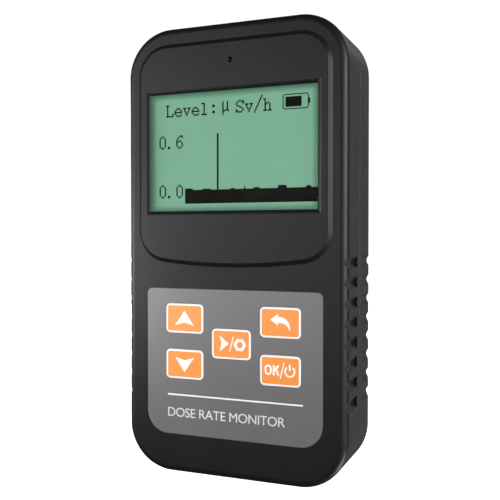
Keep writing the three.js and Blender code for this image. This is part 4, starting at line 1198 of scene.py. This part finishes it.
def build_battery_mark(face):
    outer = rounded(13.57, 20.55, 96.34, 100.27, 0.7, steps=4)
    inner = rounded(13.83, 20.29, 96.60, 100.01, 0.45, steps=4)
    charge = rounded(14.33, 18.66, 96.97, 99.57, 0.05, steps=1)
    terminal = rounded(20.5, 20.9, 97.55, 98.95, 0.12, steps=2)
    mark = [flat_ring(outer, inner, face), flat_shape(charge, face), flat_shape(terminal, face)]
    settle(merged(mark), "lcd_battery_mark", ink_black)


GRAPH_LEFT = -14.34
GRAPH_BASE = 72.78
GRAPH_TOP = 76.45
GRAPH_SPIKE = (-4.89, -4.38, 91.28)  # left, right, high
GRAPH_BUMPS = (  # left, right and rise of each bump on the band's top
    (GRAPH_LEFT, -12.05, 0.42),
    (-9.1, -6.75, 0.28),
    (-0.85, 0.1, 0.28),
    (2.95, 3.2, 0.7),
    (5.75, 7.15, 0.36),
    (12.4, 14.6, 0.72),
    (19.95, 21.2, 0.5),
)


def build_graph(face):
    """The band of past readings, which runs off to the right, and one high reading."""
    end, flank = WINDOW_HALF + 0.5, 0.12
    history = [(end, GRAPH_BASE), (end, GRAPH_TOP)]
    for left, right, rise in reversed(GRAPH_BUMPS):
        history += [(right + flank, GRAPH_TOP), (right, GRAPH_TOP + rise), (left, GRAPH_TOP + rise)]
        if left > GRAPH_LEFT:
            history.append((left - flank, GRAPH_TOP))
    history.append((GRAPH_LEFT, GRAPH_BASE))
    left, right, high = GRAPH_SPIKE
    spike = rounded(left, right, GRAPH_TOP + 0.02, high, 0.05, steps=1)
    graph = merged([flat_shape(history, face), flat_shape(spike, face)])
    settle(graph, "lcd_graph", ink_black)


def build_display():
    (left, right), (near, far), (low, high) = node_box("lcd_glass")
    edge = 0.08
    glass = slab(
        lambda i: rounded(left + i, right - i, low + i, high - i, 0.3, steps=3), near, far, edge, edge
    )
    settle(glass, "lcd_glass_panel", screen, replaces=["lcd_glass"])
    build_characters(near)
    build_battery_mark(near)
    build_graph(near)


def build_lens():
    near, far = node_box("display_window")[1]
    lens = slab(rim(face_box("display_window"), 0.8, steps=5), near, far, 0.08, 0.08)
    settle(lens, "display_lens", lens_clear, replaces=["display_window"])


# ---- Stage, lights and camera ----


def build_stage():
    """A pale floor and a white background, which light the device only a little."""
    white = grey(1.0)
    material, _, shader = start("pale_floor", roughness=0.9, specular=0.0)
    for socket in ("Base Color", "Emission Color"):
        shader.inputs[socket].default_value = white
    shader.inputs["Emission Strength"].default_value = 1.0
    reach, below = 6.0, -0.0002
    plane = bmesh.new()
    corners = ((-reach, -reach), (reach, -reach), (reach, reach), (-reach, reach))
    plane.faces.new([plane.verts.new((x, y, below)) for x, y in corners])
    floor = as_object(plane, "floor")
    floor.data.materials.append(material)
    floor.visible_diffuse = False
    floor.visible_glossy = False
    floor.visible_shadow = False

    world = bpy.data.worlds.new("studio")
    bpy.context.scene.world = world
    world.use_nodes = True
    tree = world.node_tree
    seen = tree.nodes["Background"].outputs["Background"]
    tree.nodes["Background"].inputs["Color"].default_value = white
    rays = add(tree, "LightPath").outputs["Is Camera Ray"]
    ambient = add(tree, "Background", {"Color": white, "Strength": AMBIENT}).outputs["Background"]
    mix = add(tree, "MixShader", {0: rays, 1: ambient, 2: seen})
    tree.links.new(mix.outputs["Shader"], tree.nodes["World Output"].inputs["Surface"])


def around(azimuth, elevation, distance):
    """A place round the device's middle: azimuth 0 is in front, and turns to the device's left side."""
    turn, rise = math.radians(azimuth), math.radians(elevation)
    level = math.cos(rise) * distance
    return Vector((-math.sin(turn) * level, -math.cos(turn) * level, math.sin(rise) * distance)) + MIDDLE


MIDDLE = Vector((0, 0, 0.06))
AMBIENT = 0.02
LIGHTS = (  # name, azimuth, elevation, distance, width, height, watts
    ("right_strip", -80, 10, 0.4, 0.08, 0.28, 0.70),
    ("right_strip_front", -65, 10, 0.4, 0.08, 0.28, 0.89),
    ("front_right", -40, 0, 0.4, 0.10, 0.30, 0.21),
    ("front", 10, 0, 0.4, 0.16, 0.16, 0.146),
    ("front_high", 20, 15, 0.4, 0.16, 0.16, 0.133),
    ("left_soft", 50, 10, 0.4, 0.16, 0.16, 0.50),
    ("left_near", 55, -5, 0.17, 0.05, 0.05, 0.127),
    ("flank_low", -100, -50, 0.4, 0.15, 0.15, 0.7),
    ("back_right", -160, -10, 0.4, 0.08, 0.50, 0.07),
    ("back_right_high", -150, 35, 0.4, 0.12, 0.12, 0.11),
    ("back_left", 135, 0, 0.5, 0.30, 0.30, 3.0),
)


def build_lights():
    """Rectangular area lights, all turned towards the middle of the device."""
    for name, azimuth, elevation, distance, width, height, watts in LIGHTS:
        data = bpy.data.lights.new(name, "AREA")
        data.shape = "RECTANGLE"
        data.size = width
        data.size_y = height
        data.energy = watts
        light = bpy.data.objects.new(name, data)
        light.location = around(azimuth, elevation, distance)
        light.rotation_mode = "QUATERNION"
        light.rotation_quaternion = (MIDDLE - light.location).to_track_quat("-Z", "Y")
        bpy.context.scene.collection.objects.link(light)


def build_camera():
    """The device seen from its right side, a little above half height."""
    data = bpy.data.cameras.new("camera")
    data.sensor_width = 36
    data.lens = 52.78
    data.clip_start, data.clip_end = 0.01, 20
    camera = bpy.data.objects.new("camera", data)
    yaw, pitch = 21.95, 1.07
    camera.location = (0.07607, FACE_Y - 0.17559, 0.0640)
    camera.rotation_euler = (math.radians(90 - pitch), 0, math.radians(yaw))
    bpy.context.scene.collection.objects.link(camera)
    bpy.context.scene.camera = camera


NODE_FINISHES = (
    (black_plastic, "lcd_frame microcontroller"),
    (white_plastic, "lcd_backlight ribbon_connector status_led"),
    (ribbon_amber, "lcd_ribbon"),
    (board_green, "main_board"),
    (ferrite, "transformer_core"),
    (copper, "transformer_winding"),
    (capacitor_brown, "hv_capacitor"),
    (aluminium, "filter_capacitor"),
    (nickel, "clock_crystal tube_anode_cap tube_cathode_cap"),
    (nickel, "contact_bridge_upper contact_bridge_lower contact_negative contact_positive"),
    (brass, "sounder tube_clip_upper tube_clip_lower"),
    (steel, "board_screw_1 board_screw_2"),
    (steel, " ".join("switch_" + name for name in KEY_NAMES)),
    (black_plastic, " ".join("plunger_" + name for name in KEY_NAMES)),
)


def finish_nodes():
    """Gives the carried-over CAD pieces their materials."""
    for material, names in NODE_FINISHES:
        for name in names.split():
            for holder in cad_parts[name].material_slots:
                holder.material = material


build_camera()
build_stage()
build_lights()
finish_nodes()
build_front_shell()
build_rear_shell()
build_battery_door()
build_case_screws()
build_cells()
build_springs()
build_tube()
build_rating_label()
build_light_pipe()
build_keypad_film()
for key_name in KEY_NAMES:
    build_key(key_name)
build_label_print()
build_display()
build_lens()
bpy.context.scene.view_settings.view_transform = "Standard"
bpy.context.scene.view_settings.exposure = 0.1
